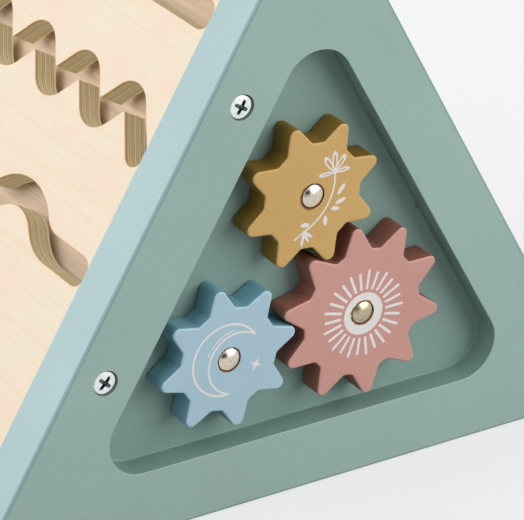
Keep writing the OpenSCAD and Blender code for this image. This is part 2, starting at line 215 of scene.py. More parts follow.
@dataclass(frozen=True)
class SprayedLacquer(Finish):
    """Matt water-based lacquer, sprayed on sanded fibreboard.

    To the eye: an even colour with a soft sheen, a fine speckle of the spray
    mist, a slight orange peel and now and then a speck of dust. Round a bored
    hole the lacquer is chipped and the bare board shows brown. Sawn edges are
    a little darker than the faces: partly the lacquer that they drink, partly
    painted shade of the wheels' sides.

    Depth darkens the whole colour, speckle is the darkest share of the mist,
    and dust is the radius of a speck as a share of its cell. The chips reach
    to the radius chipped, give or take chip_deep, about a centre that lies
    chip_shift to the left of the hub.
    """

    colour: str
    depth: float = 1.0
    speckle: float = 0.92
    dust: float = 0.022
    hub: tuple[float, float] | None = None
    chipped: float = 4.4
    chip_deep: float = 0.4
    chip_shift: float = 0.05
    board: tuple[str, str] = ("2E1C0E", "A86E34")
    roughness: float = 0.52
    uneven: float = 0.06

    def build(self, tree: NodeTree) -> None:
        """Adds the nodes of the lacquer.

        Args:
            tree: Empty node tree of the material.
        """
        place = add_node(tree, "TexCoord").outputs["Object"]
        # Clouds of tone about 45 mm wide, as the spray gun leaves them
        cloud = add_node(tree, "TexNoise", {"Vector": place, "Scale": 22.0, "Detail": 2.0})
        dark, light = (paint(self.colour, share * self.depth) for share in (0.97, 1.03))
        tone = add_node(tree, "ValToRGB", {"Fac": cloud}, [(0.32, dark), (0.68, light)])
        # Spray mist: grains of a third of a millimetre
        mist = add_node(tree, "TexNoise", {"Vector": place, "Scale": 2900.0, "Detail": 1.0})
        grain = add_node(tree, "MapRange", {"Value": mist, "From Min": 0.35, "From Max": 0.65})
        grey = (self.speckle, self.speckle, self.speckle, 1.0)
        misty = add_node(tree, "Mix", {MIX: grain, UNDER: grey, OVER: paint("FFFFFF")}, data_type="RGBA")
        coloured = add_node(
            tree, "Mix", {MIX: 1.0, UNDER: tone, OVER: misty}, data_type="RGBA", blend_type="MULTIPLY"
        )
        # Dust: a dark speck in each cell of 8 mm, about 0.35 mm wide on a clean face
        cell = add_node(tree, "TexVoronoi", {"Vector": place, "Scale": 125.0})
        speck = add_node(tree, "Math", {0: cell, 1: self.dust}, operation="LESS_THAN")
        dark_speck = paint(self.colour, 0.35)
        colour = add_node(
            tree, "Mix", {MIX: speck, UNDER: coloured, OVER: dark_speck}, data_type="RGBA"
        )
        if self.hub is not None:
            colour = self.bare_rim(tree, place, colour)
        # Orange peel: waves of 1.4 mm, a few hundredths of a millimetre high
        peel = add_node(tree, "TexNoise", {"Vector": place, "Scale": 700.0, "Detail": 3.0})
        bump = add_node(tree, "Bump", {"Strength": 0.35, "Distance": 0.06 * MM, "Height": peel})
        low, high = self.roughness - self.uneven, self.roughness + self.uneven
        dull = add_node(tree, "MapRange", {"Value": peel, "To Min": low, "To Max": high})
        self.surface(
            tree, {"Base Color": colour, "Roughness": dull, "Normal": bump, "Specular IOR Level": 0.4}
        )

    def bare_rim(self, tree: NodeTree, place: NodeSocket, colour: Node) -> Node:
        """Shows the brown board where the lacquer is chipped round the hub.

        Args:
            tree: Node tree of the material.
            place: Object coordinates.
            colour: The node that colours the whole lacquer.

        Returns:
            The node that gives the colour with the chipped rim.
        """
        offset = ((self.chip_shift - self.hub[0]) * MM, 0.0, -self.hub[1] * MM)
        centred = add_node(
            tree, "Mapping", {"Vector": place, "Location": offset, "Scale": (1.0, 0.0, 1.0)}
        )
        radius = add_node(tree, "VectorMath", {0: centred}, operation="LENGTH")
        # Chips of about 0.5 mm
        chips = add_node(tree, "TexNoise", {"Vector": place, "Scale": 1900.0, "Detail": 3.0})
        edge = add_node(
            tree,
            "MapRange",
            {
                "Value": chips,
                "From Min": 0.3,
                "From Max": 0.7,
                "To Min": (self.chipped - self.chip_deep) * MM,
                "To Max": (self.chipped + self.chip_deep) * MM,
            },
        )
        bare = add_node(tree, "Math", {0: radius, 1: edge}, operation="LESS_THAN")
        shade, light = (paint(tone) for tone in self.board)
        board = add_node(tree, "ValToRGB", {"Fac": chips}, [(0.4, shade), (0.62, light)])
        return add_node(tree, "Mix", {MIX: bare, UNDER: colour, OVER: board}, data_type="RGBA")


@dataclass(frozen=True)
class PlainWood(Finish):
    """Solid beech or thin birch board, turned or sawn and sanded.

    To the eye: a warm even wood with short dark flecks, matt, without varnish.
    The grain runs along Y. Streaks and flecks say how many there are in a metre
    across the grain and along it, and fleck_range says from which to which value
    of the noise the flecks rise to their full share.
    """

    colour: str = "D9BE92"
    fleck: str = "B8935F"
    streaks: tuple[float, float] = (625.0, 25.0)
    waver: float = 0.0
    flecks: tuple[float, float] = (3000.0, 500.0)
    fleck_range: tuple[float, float] = (0.55, 0.75)
    fleck_share: float = 0.5
    relief: float = 0.06
    roughness: float = 0.68
    gloss: float = 0.3

    def streaky(self, tree: NodeTree, place: NodeSocket, streak: Node) -> Node:
        """Colours the streaks of the year rings.

        Args:
            tree: Node tree of the material.
            place: Object coordinates, not used here.
            streak: The noise of the streaks.

        Returns:
            The node that gives the colour.
        """
        dark, light = paint(self.colour, 0.86), paint(self.colour, 1.06)
        return add_node(tree, "ValToRGB", {"Fac": streak}, [(0.36, dark), (0.64, light)])

    def build(self, tree: NodeTree) -> None:
        """Adds the nodes of the wood.

        Args:
            tree: Empty node tree of the material.
        """
        place = add_node(tree, "TexCoord").outputs["Object"]
        noises = []
        for count, detail, waver in ((self.streaks, 4.0, self.waver), (self.flecks, 2.0, 0.0)):
            scale = (count[0], count[1], count[0])
            along = add_node(tree, "Mapping", {"Vector": place, "Scale": scale})
            noise = {"Vector": along, "Scale": 1.0, "Detail": detail, "Distortion": waver}
            noises.append(add_node(tree, "TexNoise", noise))
        wood = self.streaky(tree, place, noises[0])
        low, high = self.fleck_range
        reach = {"Value": noises[1], "From Min": low, "From Max": high, "To Max": self.fleck_share}
        dashes = add_node(tree, "MapRange", reach)
        colour = add_node(
            tree, "Mix", {MIX: dashes, UNDER: wood, OVER: paint(self.fleck)}, data_type="RGBA"
        )
        relief = {"Strength": 0.3, "Distance": self.relief * MM, "Height": noises[1]}
        self.surface(
            tree,
            {
                "Base Color": colour,
                "Roughness": self.roughness,
                "Normal": add_node(tree, "Bump", relief),
                "Specular IOR Level": self.gloss,
            },
        )


@dataclass(frozen=True)
class BirchVeneer(PlainWood):
    """Birch veneer, sliced, sanded and sealed with a thin matt varnish.

    To the eye: a very pale cream with faint streaks, soft rosy clouds and
    short fine pores, which are drawn as the flecks of a plain wood are.
    """

    colour: str = "E3D5B9"
    deep: str = "E2CEAF"
    rosy: str = "E5CFB5"
    fleck: str = "CDAE8A"
    streaks: tuple[float, float] = (660.0, 12.0)
    waver: float = 0.4
    flecks: tuple[float, float] = (3600.0, 330.0)
    fleck_range: tuple[float, float] = (0.56, 0.8)
    fleck_share: float = 0.3
    relief: float = 0.04
    roughness: float = 0.5
    gloss: float = 0.4

    def streaky(self, tree: NodeTree, place: NodeSocket, streak: Node) -> Node:
        """Colours the streaks of the year rings and lays rosy clouds over them.

        Args:
            tree: Node tree of the material.
            place: Object coordinates.
            streak: The noise of the streaks.

        Returns:
            The node that gives the colour.
        """
        stops = [(0.26, paint(self.deep)), (0.5, paint(self.colour)), (0.72, paint(self.colour, 1.01))]
        wood = add_node(tree, "ValToRGB", {"Fac": streak}, stops)
        # Rosy clouds about 14 mm wide
        cloud = add_node(tree, "TexNoise", {"Vector": place, "Scale": 70.0, "Detail": 2.0})
        reach = {"Value": cloud, "From Min": 0.42, "From Max": 0.68, "To Max": 0.8}
        blush = add_node(tree, "MapRange", reach)
        return add_node(
            tree, "Mix", {MIX: blush, UNDER: wood, OVER: paint(self.rosy)}, data_type="RGBA"
        )


@dataclass(frozen=True)
class BirchPlies(Finish):
    """Cut edge of birch plywood, milled and sanded.

    To the eye: layers of 1 mm that are by turns straw yellow end grain and
    paler long grain, thin brown lines of glue between them, and an orange
    brown scorched line at the face veneer. The grain colours are paler than
    the wood: painted light on the walls of the tracks.

    Across is the way from the face of the slope into it. Lead, trail and
    glue_at are the places of a layer's colours within it, and sway is how far
    the layers waver, all as shares of the plywood's thickness.
    """

    across: tuple[float, float, float] = (0.8660254, 0.0, -0.5)
    layers: int = 9
    lead: float = 0.026
    trail: float = 0.03
    glue_at: float = 0.002
    sway: float = 0.03
    rim: str = "DCB486"
    # The grain colours are lifted paler than the wood: painted light on the track walls
    end_grain: tuple[str, str] = ("EDDFB6", "E4D3A4")
    long_grain: tuple[str, str] = ("F6EED2", "F0E5C0")
    glue: str = "C4B080"
    torn: str = "CAB88E"

    def stops(self) -> list[tuple[float, Colour]]:
        """Works out the colour ramp over the layers and their glue.

        Returns:
            Places and colours, from the face to the back.
        """
        made: list[tuple[float, Colour]] = []
        for i in range(self.layers):
            top, end = i / self.layers, (i + 1) / self.layers
            tones = self.long_grain if i % 2 == 0 else self.end_grain
            tone = paint(self.rim if i == 0 else tones[i // 2 % 2])
            made += [(top + self.lead, tone), (end - self.trail, tone)]
            if i < self.layers - 1:
                made.append((end - self.glue_at, paint(self.glue)))
        return made

    def build(self, tree: NodeTree) -> None:
        """Adds the nodes of the plies.

        Args:
            tree: Empty node tree of the material.
        """
        place = add_node(tree, "TexCoord").outputs["Object"]
        # Depth below the face, 0 at the face and 1 at the back
        across = tuple(a / (PLY * MM) for a in self.across)
        depth = add_node(tree, "VectorMath", {0: place, 1: across}, operation="DOT_PRODUCT")
        # The layers waver over some 6 mm
        drift = add_node(tree, "TexNoise", {"Vector": place, "Scale": 160.0, "Detail": 3.0})
        start = (SIDE / 2 * self.across[0] - PLY_AT) / PLY
        ends = {"Value": drift, "To Min": start - self.sway, "To Max": start + self.sway}
        level = add_node(tree, "MapRange", ends, clamp=False)
        share = add_node(tree, "Math", {0: depth, 1: level}, operation="ADD")
        layers = add_node(tree, "ValToRGB", {"Fac": share}, self.stops())
        # Torn fibres: grains of 0.4 mm
        fibre = add_node(tree, "TexNoise", {"Vector": place, "Scale": 2600.0, "Detail": 3.0})
        reach = {"Value": fibre, "From Min": 0.4, "From Max": 0.7, "To Max": 0.3}
        torn = add_node(tree, "MapRange", reach)
        colour = add_node(
            tree, "Mix", {MIX: torn, UNDER: layers, OVER: paint(self.torn)}, data_type="RGBA"
        )
        bump = add_node(tree, "Bump", {"Strength": 0.5, "Distance": 0.1 * MM, "Height": fibre})
        self.surface(
            tree, {"Base Color": colour, "Roughness": 0.75, "Normal": bump, "Specular IOR Level": 0.3}
        )


@dataclass(frozen=True)
class PlatedSteel(Finish):
    """Pressed steel with a bright plating of nickel or zinc.

    To the eye: a smooth mirror that is a little soft, with faint stains that
    are duller than the rest.
    """

    colour: str
    stain: str
    roughness: float
    stained: float = 0.04
    polished: float = 0.03

    def build(self, tree: NodeTree) -> None:
        """Adds the nodes of the plating.

        Args:
            tree: Empty node tree of the material.
        """
        place = add_node(tree, "TexCoord").outputs["Object"]
        # Stains of about 1 mm
        cloud = add_node(tree, "TexNoise", {"Vector": place, "Scale": 900.0, "Detail": 3.0})
        stops = [(0.3, paint(self.stain)), (0.55, paint(self.colour))]
        colour = add_node(tree, "ValToRGB", {"Fac": cloud}, stops)
        low, high = self.roughness + self.stained, self.roughness - self.polished
        dull = add_node(tree, "MapRange", {"Value": cloud, "To Min": low, "To Max": high})
        # Marks of the press, a third of a millimetre apart
        mark = add_node(tree, "TexNoise", {"Vector": place, "Scale": 3000.0, "Detail": 1.0})
        bump = add_node(tree, "Bump", {"Strength": 0.06, "Distance": 0.02 * MM, "Height": mark})
        self.surface(tree, {"Base Color": colour, "Metallic": 1.0, "Roughness": dull, "Normal": bump})


@dataclass(frozen=True)
class FloorPaper(Finish):
    """Pale paper that the toy stands on, not a part of it.

    Unseen is its colour for the light that it throws on the toy, and own_light
    the share of its paleness that no shadow darkens. Dark_at and dark_size are
    the middle and the half width, in metres, of a patch beside the camera that
    only glossy rays see dark, a painted dark reflection in bright metal, and
    within fade, in metres too, the paper turns into the backdrop.
    """

    colour: str = "EFEFEF"
    unseen: str = "8C8C8C"
    own_light: float = 0.7
    dark_at: tuple[float, float] = (-0.27, -1.05)
    dark_size: tuple[float, float] = (0.32, 0.7)
    fade: tuple[float, float] = (0.7, 2.0)

    def build(self, tree: NodeTree) -> None:
        """Adds the nodes of the paper.

        Args:
            tree: Empty node tree of the material.
        """
        place = add_node(tree, "TexCoord").outputs["Object"]
        # Clouds of a third of a metre
        cloud = add_node(tree, "TexNoise", {"Vector": place, "Scale": 3.0, "Detail": 2.0})
        stops = [(0.3, paint(self.colour, 0.99)), (0.7, paint(self.colour))]
        colour = add_node(tree, "ValToRGB", {"Fac": cloud}, stops)
        # Seen directly or in metal the paper is pale, yet it lights the toy from below only a little
        rays = add_node(tree, "LightPath")
        seen = seen_or_mirrored(tree, rays)
        bounce = add_node(tree, "BsdfDiffuse", {"Color": paint(self.unseen)})
        shadowed = add_node(tree, "BsdfDiffuse", {"Color": colour})
        # A patch beside the camera that only glossy rays see dark: a painted dark reflection, which
        # bright metal shows as a dark spot
        scale = tuple(1 / size for size in self.dark_size)
        offset = tuple(-at * share for at, share in zip(self.dark_at, scale))
        painted_reflection_spot = add_node(
            tree, "Mapping", {"Vector": place, "Location": (*offset, 0.0), "Scale": (*scale, 0.0)}
        )
        near = add_node(tree, "TexGradient", {"Vector": painted_reflection_spot}, gradient_type="SPHERICAL")
        mirrored = painted_dark_reflection(tree, rays, near.outputs["Fac"], self.colour, (0.02, 0.3))
        bright = add_node(tree, "Emission", {"Color": mirrored, "Strength": 1.0})
        pale = add_node(tree, "MixShader", {0: self.own_light, 1: shadowed, 2: bright})
        # Far off the paper fades into the backdrop, so that no horizon shows
        reach = add_node(tree, "VectorMath", {0: place}, operation="LENGTH")
        ends = {"Value": reach, "From Min": self.fade[0], "From Max": self.fade[1]}
        fade = add_node(tree, "MapRange", ends, interpolation_type="SMOOTHSTEP")
        haze = add_node(tree, "Emission", {"Color": paint(BACKDROP), "Strength": 1.0})
        faded = add_node(tree, "MixShader", {0: fade, 1: pale, 2: haze})
        mixed = add_node(tree, "MixShader", {0: seen, 1: bounce, 2: faded})
        add_node(tree, "OutputMaterial", {"Surface": mixed})


class Tint(Enum):
    """Colours of the lacquer and of the white ink, as sRGB hex."""

    SAGE = "A2BEB6"
    OCHRE = "D8B06B"
    ROSE = "D6A093"
    BLUE = "B4D4E0"
    WHITE = "F2EFEA"


class PanelArea(IntEnum):
    """Areas of an end panel, numbered as their finishes are listed."""

    FACE = 0
    EDGE = 1
    HOLE = 2
    SIDE = 3
    FLOOR = 4
    RIM = 5
    CORNER = 6
    WALL = 7


class WheelArea(IntEnum):
    """Areas of a wheel, numbered as their finishes are listed."""

    FACE = 0
    BORE = 1
    FLANK = 2


# Lacquer on the sawn edges of the wheels, darker than the faces: painted shade of the wheels' sides,
# partly the lacquer that the sawn edges drink
SAWN = {Tint.OCHRE: "8A6A20", Tint.ROSE: "96604F", Tint.BLUE: "76A8B8"}

VENEER = BirchVeneer("birch_veneer_sealed")
PLIES = BirchPlies("birch_plies_milled")
BEECH = PlainWood("beech_turned")
BOARD = PlainWood("birch_board_thin", colour="E6D0B2", fleck="CDB08C", streaks=(400.0, 11.1111111))
BARE = PlainWood("fibreboard_bare", colour="6A4524", fleck="33200F", streaks=(1250.0, 1250.0))
NICKEL = PlatedSteel("steel_nickel_plated", colour="DACFBE", stain="CDC1AE", roughness=0.2)
TARNISHED = PlatedSteel("steel_nickel_tarnished", colour="BDB396", stain="A89D7E", roughness=0.28)
ZINC = PlatedSteel("steel_zinc_plated", colour="EEF2F0", stain="DDE2DF", roughness=0.2)
# The cross recesses get a darker plating: painted shade inside the recess
ZINC_RECESS_SHADE = PlatedSteel("steel_zinc_recess_painted_shade", colour="66767A", stain="26302F", roughness=0.3)
SAGE = Tint.SAGE.value

# Lacquer on the areas of the end panels, in the order of their numbers
SAGE_LACQUERS = {
    PanelArea.FACE: SprayedLacquer("lacquer_sage_matt", SAGE),
    # The rounded front edge is darker than the face and the side: painted shade on the round-over
    PanelArea.EDGE: SprayedLacquer("lacquer_sage_rounded_edge_painted_shade", "96BAB4", depth=0.78),
    # The walls of the screw holes are darkened: painted shade beside the sunk screw heads
    PanelArea.HOLE: SprayedLacquer("lacquer_sage_screw_hole_painted_shade", SAGE, depth=0.22),
    # The sides and the back are a paler, bluer copy of the sage: painted light of the lamp from the left
    PanelArea.SIDE: SprayedLacquer("lacquer_sage_side_painted_light", "A7C0BC"),
    # The floor of the sunk triangle is darker than the face: painted shade of the recess, partly the
    # lacquer that the milled board drinks
    PanelArea.FLOOR: SprayedLacquer("lacquer_sage_milled_floor_painted_shade", "90AFA5", speckle=0.88),
    # The rim of the sunk triangle is paler than the face: a painted highlight along the edge
    PanelArea.RIM: SprayedLacquer("lacquer_sage_rim_painted_highlight", "B6CABE", speckle=0.86),
    # The corner between wall and floor is darker and full of specks: real dust and painted shade in the
    # crease
    PanelArea.CORNER: SprayedLacquer("lacquer_sage_dusty_corner", "8DA99D", speckle=0.78, dust=0.12),
    # The walls of the sunk triangle are darker still: painted shade of the recess, partly the lacquer
    # that the milled board drinks
    PanelArea.WALL: SprayedLacquer("lacquer_sage_milled_wall_painted_shade", "7D9C92", speckle=0.88),
}


# Shapes


def polar(radius: float, degrees: float) -> Vector:
    """Returns the point at this radius and angle, as x and z."""
    return Vector((radius * math.cos(math.radians(degrees)), radius * math.sin(math.radians(degrees))))


def spot(flat: Vector, y: float) -> Vector:
    """Returns the point in space of a flat point (x, z) at y."""
    return Vector((flat.x, y, flat.y))


@dataclass(frozen=True)
class Arc:
    """Part of a circle in the plane of X and Z, counter-clockwise as seen from the front."""

    centre: Vector
    start: Vector
    degrees: float
    steps: int

    def draw(self, bm: BMesh, y: float) -> tuple[BMVert, BMVert, list[BMEdge]]:
        """Spins the first point about the centre.

        Args:
            bm: Mesh that gets the arc.
            y: Depth of the arc's plane.

        Returns:
            The first and the last vertex, and the edges between them.
        """
        old = set(bm.edges)
        first = bm.verts.new(spot(self.start, y))
        last = bmesh.ops.spin(
            bm,
            geom=[first],
            cent=spot(self.centre, y),
            axis=(0.0, -1.0, 0.0),
            angle=math.radians(self.degrees),
            steps=self.steps,
            use_merge=False,
        )["geom_last"][0]
        return first, last, [e for e in bm.edges if e not in old]


def draw_loop(bm: BMesh, arcs: Sequence[Arc], y: float) -> list[BMEdge]:
    """Draws arcs and joins them with straight edges into a closed outline.

    Args:
        bm: Mesh that gets the outline.
        arcs: Arcs in order round the outline.
        y: Depth of the outline's plane.

    Returns:
        The edges of the outline.
    """
    ends: list[tuple[BMVert, BMVert]] = []
    edges: list[BMEdge] = []
    for arc in arcs:
        first, last, made = arc.draw(bm, y)
        ends.append((first, last))
        edges += made
    for (_, last), (first, _) in zip(ends, ends[1:] + ends[:1]):
        edges.append(bm.edges.new((last, first)))
    return edges


def draw_circle(bm: BMesh, centre: Vector, radius: float, y: float) -> list[BMEdge]:
    """Adds a circle in the plane of X and Z.

    Args:
        bm: Mesh that gets the circle.
        centre: Its centre, as x and z.
        radius: Its radius.
        y: Depth of its plane.

    Returns:
        The edges of the circle.
    """
    old = set(bm.edges)
    stand = Matrix.Translation(spot(centre, y)) @ Matrix.Rotation(math.pi / 2, 4, "X")
    bmesh.ops.create_circle(bm, cap_ends=False, segments=ROUND_STEPS, radius=radius, matrix=stand)
    return [e for e in bm.edges if e not in old]


def loft(bm: BMesh, loops: Sequence[list[BMEdge]]) -> list[BMFace]:
    """Bridges each outline with the next one.

    Args:
        bm: Mesh that holds the outlines.
        loops: Outlines in order.

    Returns:
        The faces between them.
    """
    faces: list[BMFace] = []
    for one, other in zip(loops, loops[1:]):
        faces += bmesh.ops.bridge_loops(bm, edges=one + other)["faces"]
    return faces


def fill(bm: BMesh, loops: Sequence[list[BMEdge]]) -> set[BMFace]:
    """Fills the area between an outline and the holes in it.

    Args:
        bm: Mesh that holds the outlines.
        loops: The outer outline and those of its holes.

    Returns:
        The new faces.
    """
    old = set(bm.faces)
    bmesh.ops.triangle_fill(
        bm, use_beauty=True, edges=[e for loop in loops for e in loop], normal=(0.0, -1.0, 0.0)
    )
    return set(bm.faces) - old


def number(faces: Iterable[BMFace], slot: int) -> None:
    """Gives faces the number of their material."""
    for face in faces:
        face.material_index = slot


def quarter(radius: float, steps: int) -> list[tuple[float, float]]:
    """Returns the insets and depths of a rounded edge, from the face to the wall."""
    turns = [math.pi / 2 * k / steps for k in range(steps + 1)]
    return [(radius * (1 - math.sin(t)), radius * (1 - math.cos(t))) for t in turns]


def turn_section(
    bm: BMesh, centre: Vector, y: float, section: Sequence[tuple[float, float]], steps: int
) -> None:
    """Turns a half section about the line along Y through a centre.

    Args:
        bm: Mesh that gets the turned shape.
        centre: Place of the axis, as x and z.
        y: Depth at which the section's own depth is 0.
        section: Radius and depth of each point.
        steps: Number of steps of the full turn.
    """
    verts = [bm.verts.new((centre.x + r, y + d, centre.y)) for r, d in section]
    edges = [bm.edges.new(pair) for pair in zip(verts, verts[1:])]
    bmesh.ops.spin(
        bm,
        geom=[*verts, *edges],
        cent=spot(centre, y),
        axis=(0.0, 1.0, 0.0),
        angle=math.tau,
        steps=steps,
        use_merge=True,
    )


def dome(half: float, height: float, steps: int) -> list[tuple[float, float]]:
    """Works out the half section of a shallow dome.

    Args:
        half: Radius of its rim.
        height: Height of its top over the rim.
        steps: Number of edges.

    Returns:
        Radius and depth of each point, from the top to the rim.
    """
    radius = (half * half + height * height) / (2 * height)
    reach = math.asin(half / radius)
    turns = [reach * k / steps for k in range(steps + 1)]
    return [(radius * math.sin(t), radius - height - radius * math.cos(t)) for t in turns]


def finish_piece(
    name: str,
    bm: BMesh,
    finishes: Sequence[Finish],
    body: str,
    nodes: Sequence[str] = (),
    sharp: float = 32.0,
) -> None:
    """Closes a mesh in millimetres, makes it an object and lets it ride on its body.

    Args:
        name: Name of the piece.
        bm: Its mesh, which is freed.
        finishes: Its finishes, in the order of the faces' material numbers.
        body: CAD body that it rides on.
        nodes: CAD nodes that it replaces.
        sharp: Angle between faces above which their edge is sharp.
    """
    bmesh.ops.remove_doubles(bm, verts=bm.verts, dist=MERGE)
    bmesh.ops.recalc_face_normals(bm, faces=bm.faces)
    bmesh.ops.scale(bm, vec=(MM, MM, MM), verts=bm.verts)
    for face in bm.faces:
        face.smooth = True
    for edge in bm.edges:
        if len(edge.link_faces) == 2:
            edge.smooth = edge.calc_face_angle(0.0) < math.radians(sharp)
    mesh = bpy.data.meshes.new(name)
    bm.to_mesh(mesh)
    bm.free()
    for finish in finishes:
        mesh.materials.append(finish.material())
    piece = bpy.data.objects.new(name, mesh)
    bpy.context.scene.collection.objects.link(piece)
    even = piece.modifiers.new("even_shading", "WEIGHTED_NORMAL")
    even.keep_sharp = True
    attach(piece, body)
    if nodes:
        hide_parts(*nodes)
    log.info("%s: %d faces, rides on %s", name, len(mesh.polygons), body)


def dress_nodes(finish: Finish, *nodes: str) -> None:
    """Gives CAD nodes that show their finish.

    Args:
        finish: The finish.
        *nodes: Names of the nodes.
    """
    for node in nodes:
        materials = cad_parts[node].data.materials
        materials.clear()
        materials.append(finish.material())
        log.info("%s: dressed with %s", node, finish.name)


# Assemblies


@dataclass
class CrossScrew:
    """Countersunk screw with a slightly domed head and a cross recess.

    Its depths are counted from the panel's face at y. Towards is 1 where the
    panel lies behind that face and -1 where it lies before it. The recess is
    given as steps: what the arms are shorter by, and the depth, or None for
    the outline that lies on the domed head.
    """

    node: str
    at: Vector
    y: float
    towards: int
    head_r: float = 4.0
    flat_r: float = 3.2
    ease: float = 0.12
    sunk: float = 0.5
    dome_h: float = 0.55
    cone: float = 2.1
    core_r: float = 2.0
    length: float = 40.0
    point: float = 5.0
    point_r: float = 0.1
    arm: float = 2.7
    arm_w: float = 1.25
    nook_r: float = 0.3
    taper: float = 0.2
    recess: tuple[tuple[float, float | None], ...] = ((0.0, None), (0.5, 0.6), (1.0, 1.5))
    turn: float = 48.0

    def level(self, radius: float) -> float:
        """Depth of the domed face at this radius."""
        return self.sunk - self.dome_h * (1 - (radius / self.head_r) ** 2)

    def cross(self, bm: BMesh, shrink: float, depth: float | None) -> list[BMEdge]:
        """Outline of the cross recess.

        Args:
            bm: Mesh that gets the outline.
            shrink: What the arms are shorter by.
            depth: Depth of the outline, or None to lay it on the domed face.

        Returns:
            The edges of the outline.
        """
        half = self.arm_w / 2 - shrink * self.taper
        arcs = []
        for k in range(4):
            way = self.turn + 90 * k
            end = self.at + polar(self.arm - shrink - half, way)
            arcs.append(Arc(end, end + polar(half, way - 90), 180.0, steps=6))
            nook = self.at + polar((half + self.nook_r) * math.sqrt(2), way + 45)
            arcs.append(Arc(nook, nook + polar(self.nook_r, way - 90), -90.0, steps=3))
        edges = draw_loop(bm, arcs, self.y)
        for vert in {v for e in edges for v in e.verts}:
            radius = (vert.co.xz - self.at).length
            vert.co.y += self.towards * (self.level(radius) if depth is None else depth)
        return edges

    def build(self) -> None:
        """Builds the screw and lets it stand for its CAD node."""
        bm = bmesh.new()
        section = [(radius, self.level(radius)) for radius in (self.flat_r, self.head_r - self.ease)]
        section += [
            (self.head_r, self.sunk + self.ease),
            (self.core_r, self.sunk + self.cone),
            (self.core_r, self.length - self.point),
            (self.point_r, self.length),
        ]
        loops = [draw_circle(bm, self.at, r, self.y + self.towards * d) for r, d in section]
        loft(bm, loops)
        fill(bm, loops[-1:])
        recess = [self.cross(bm, shrink, depth) for shrink, depth in self.recess]
        fill(bm, [loops[0], recess[0]])
        number([*loft(bm, recess), *fill(bm, recess[-1:])], SECOND)
        finish_piece(f"{self.node}_plated", bm, [ZINC, ZINC_RECESS_SHADE], "housing", [self.node])


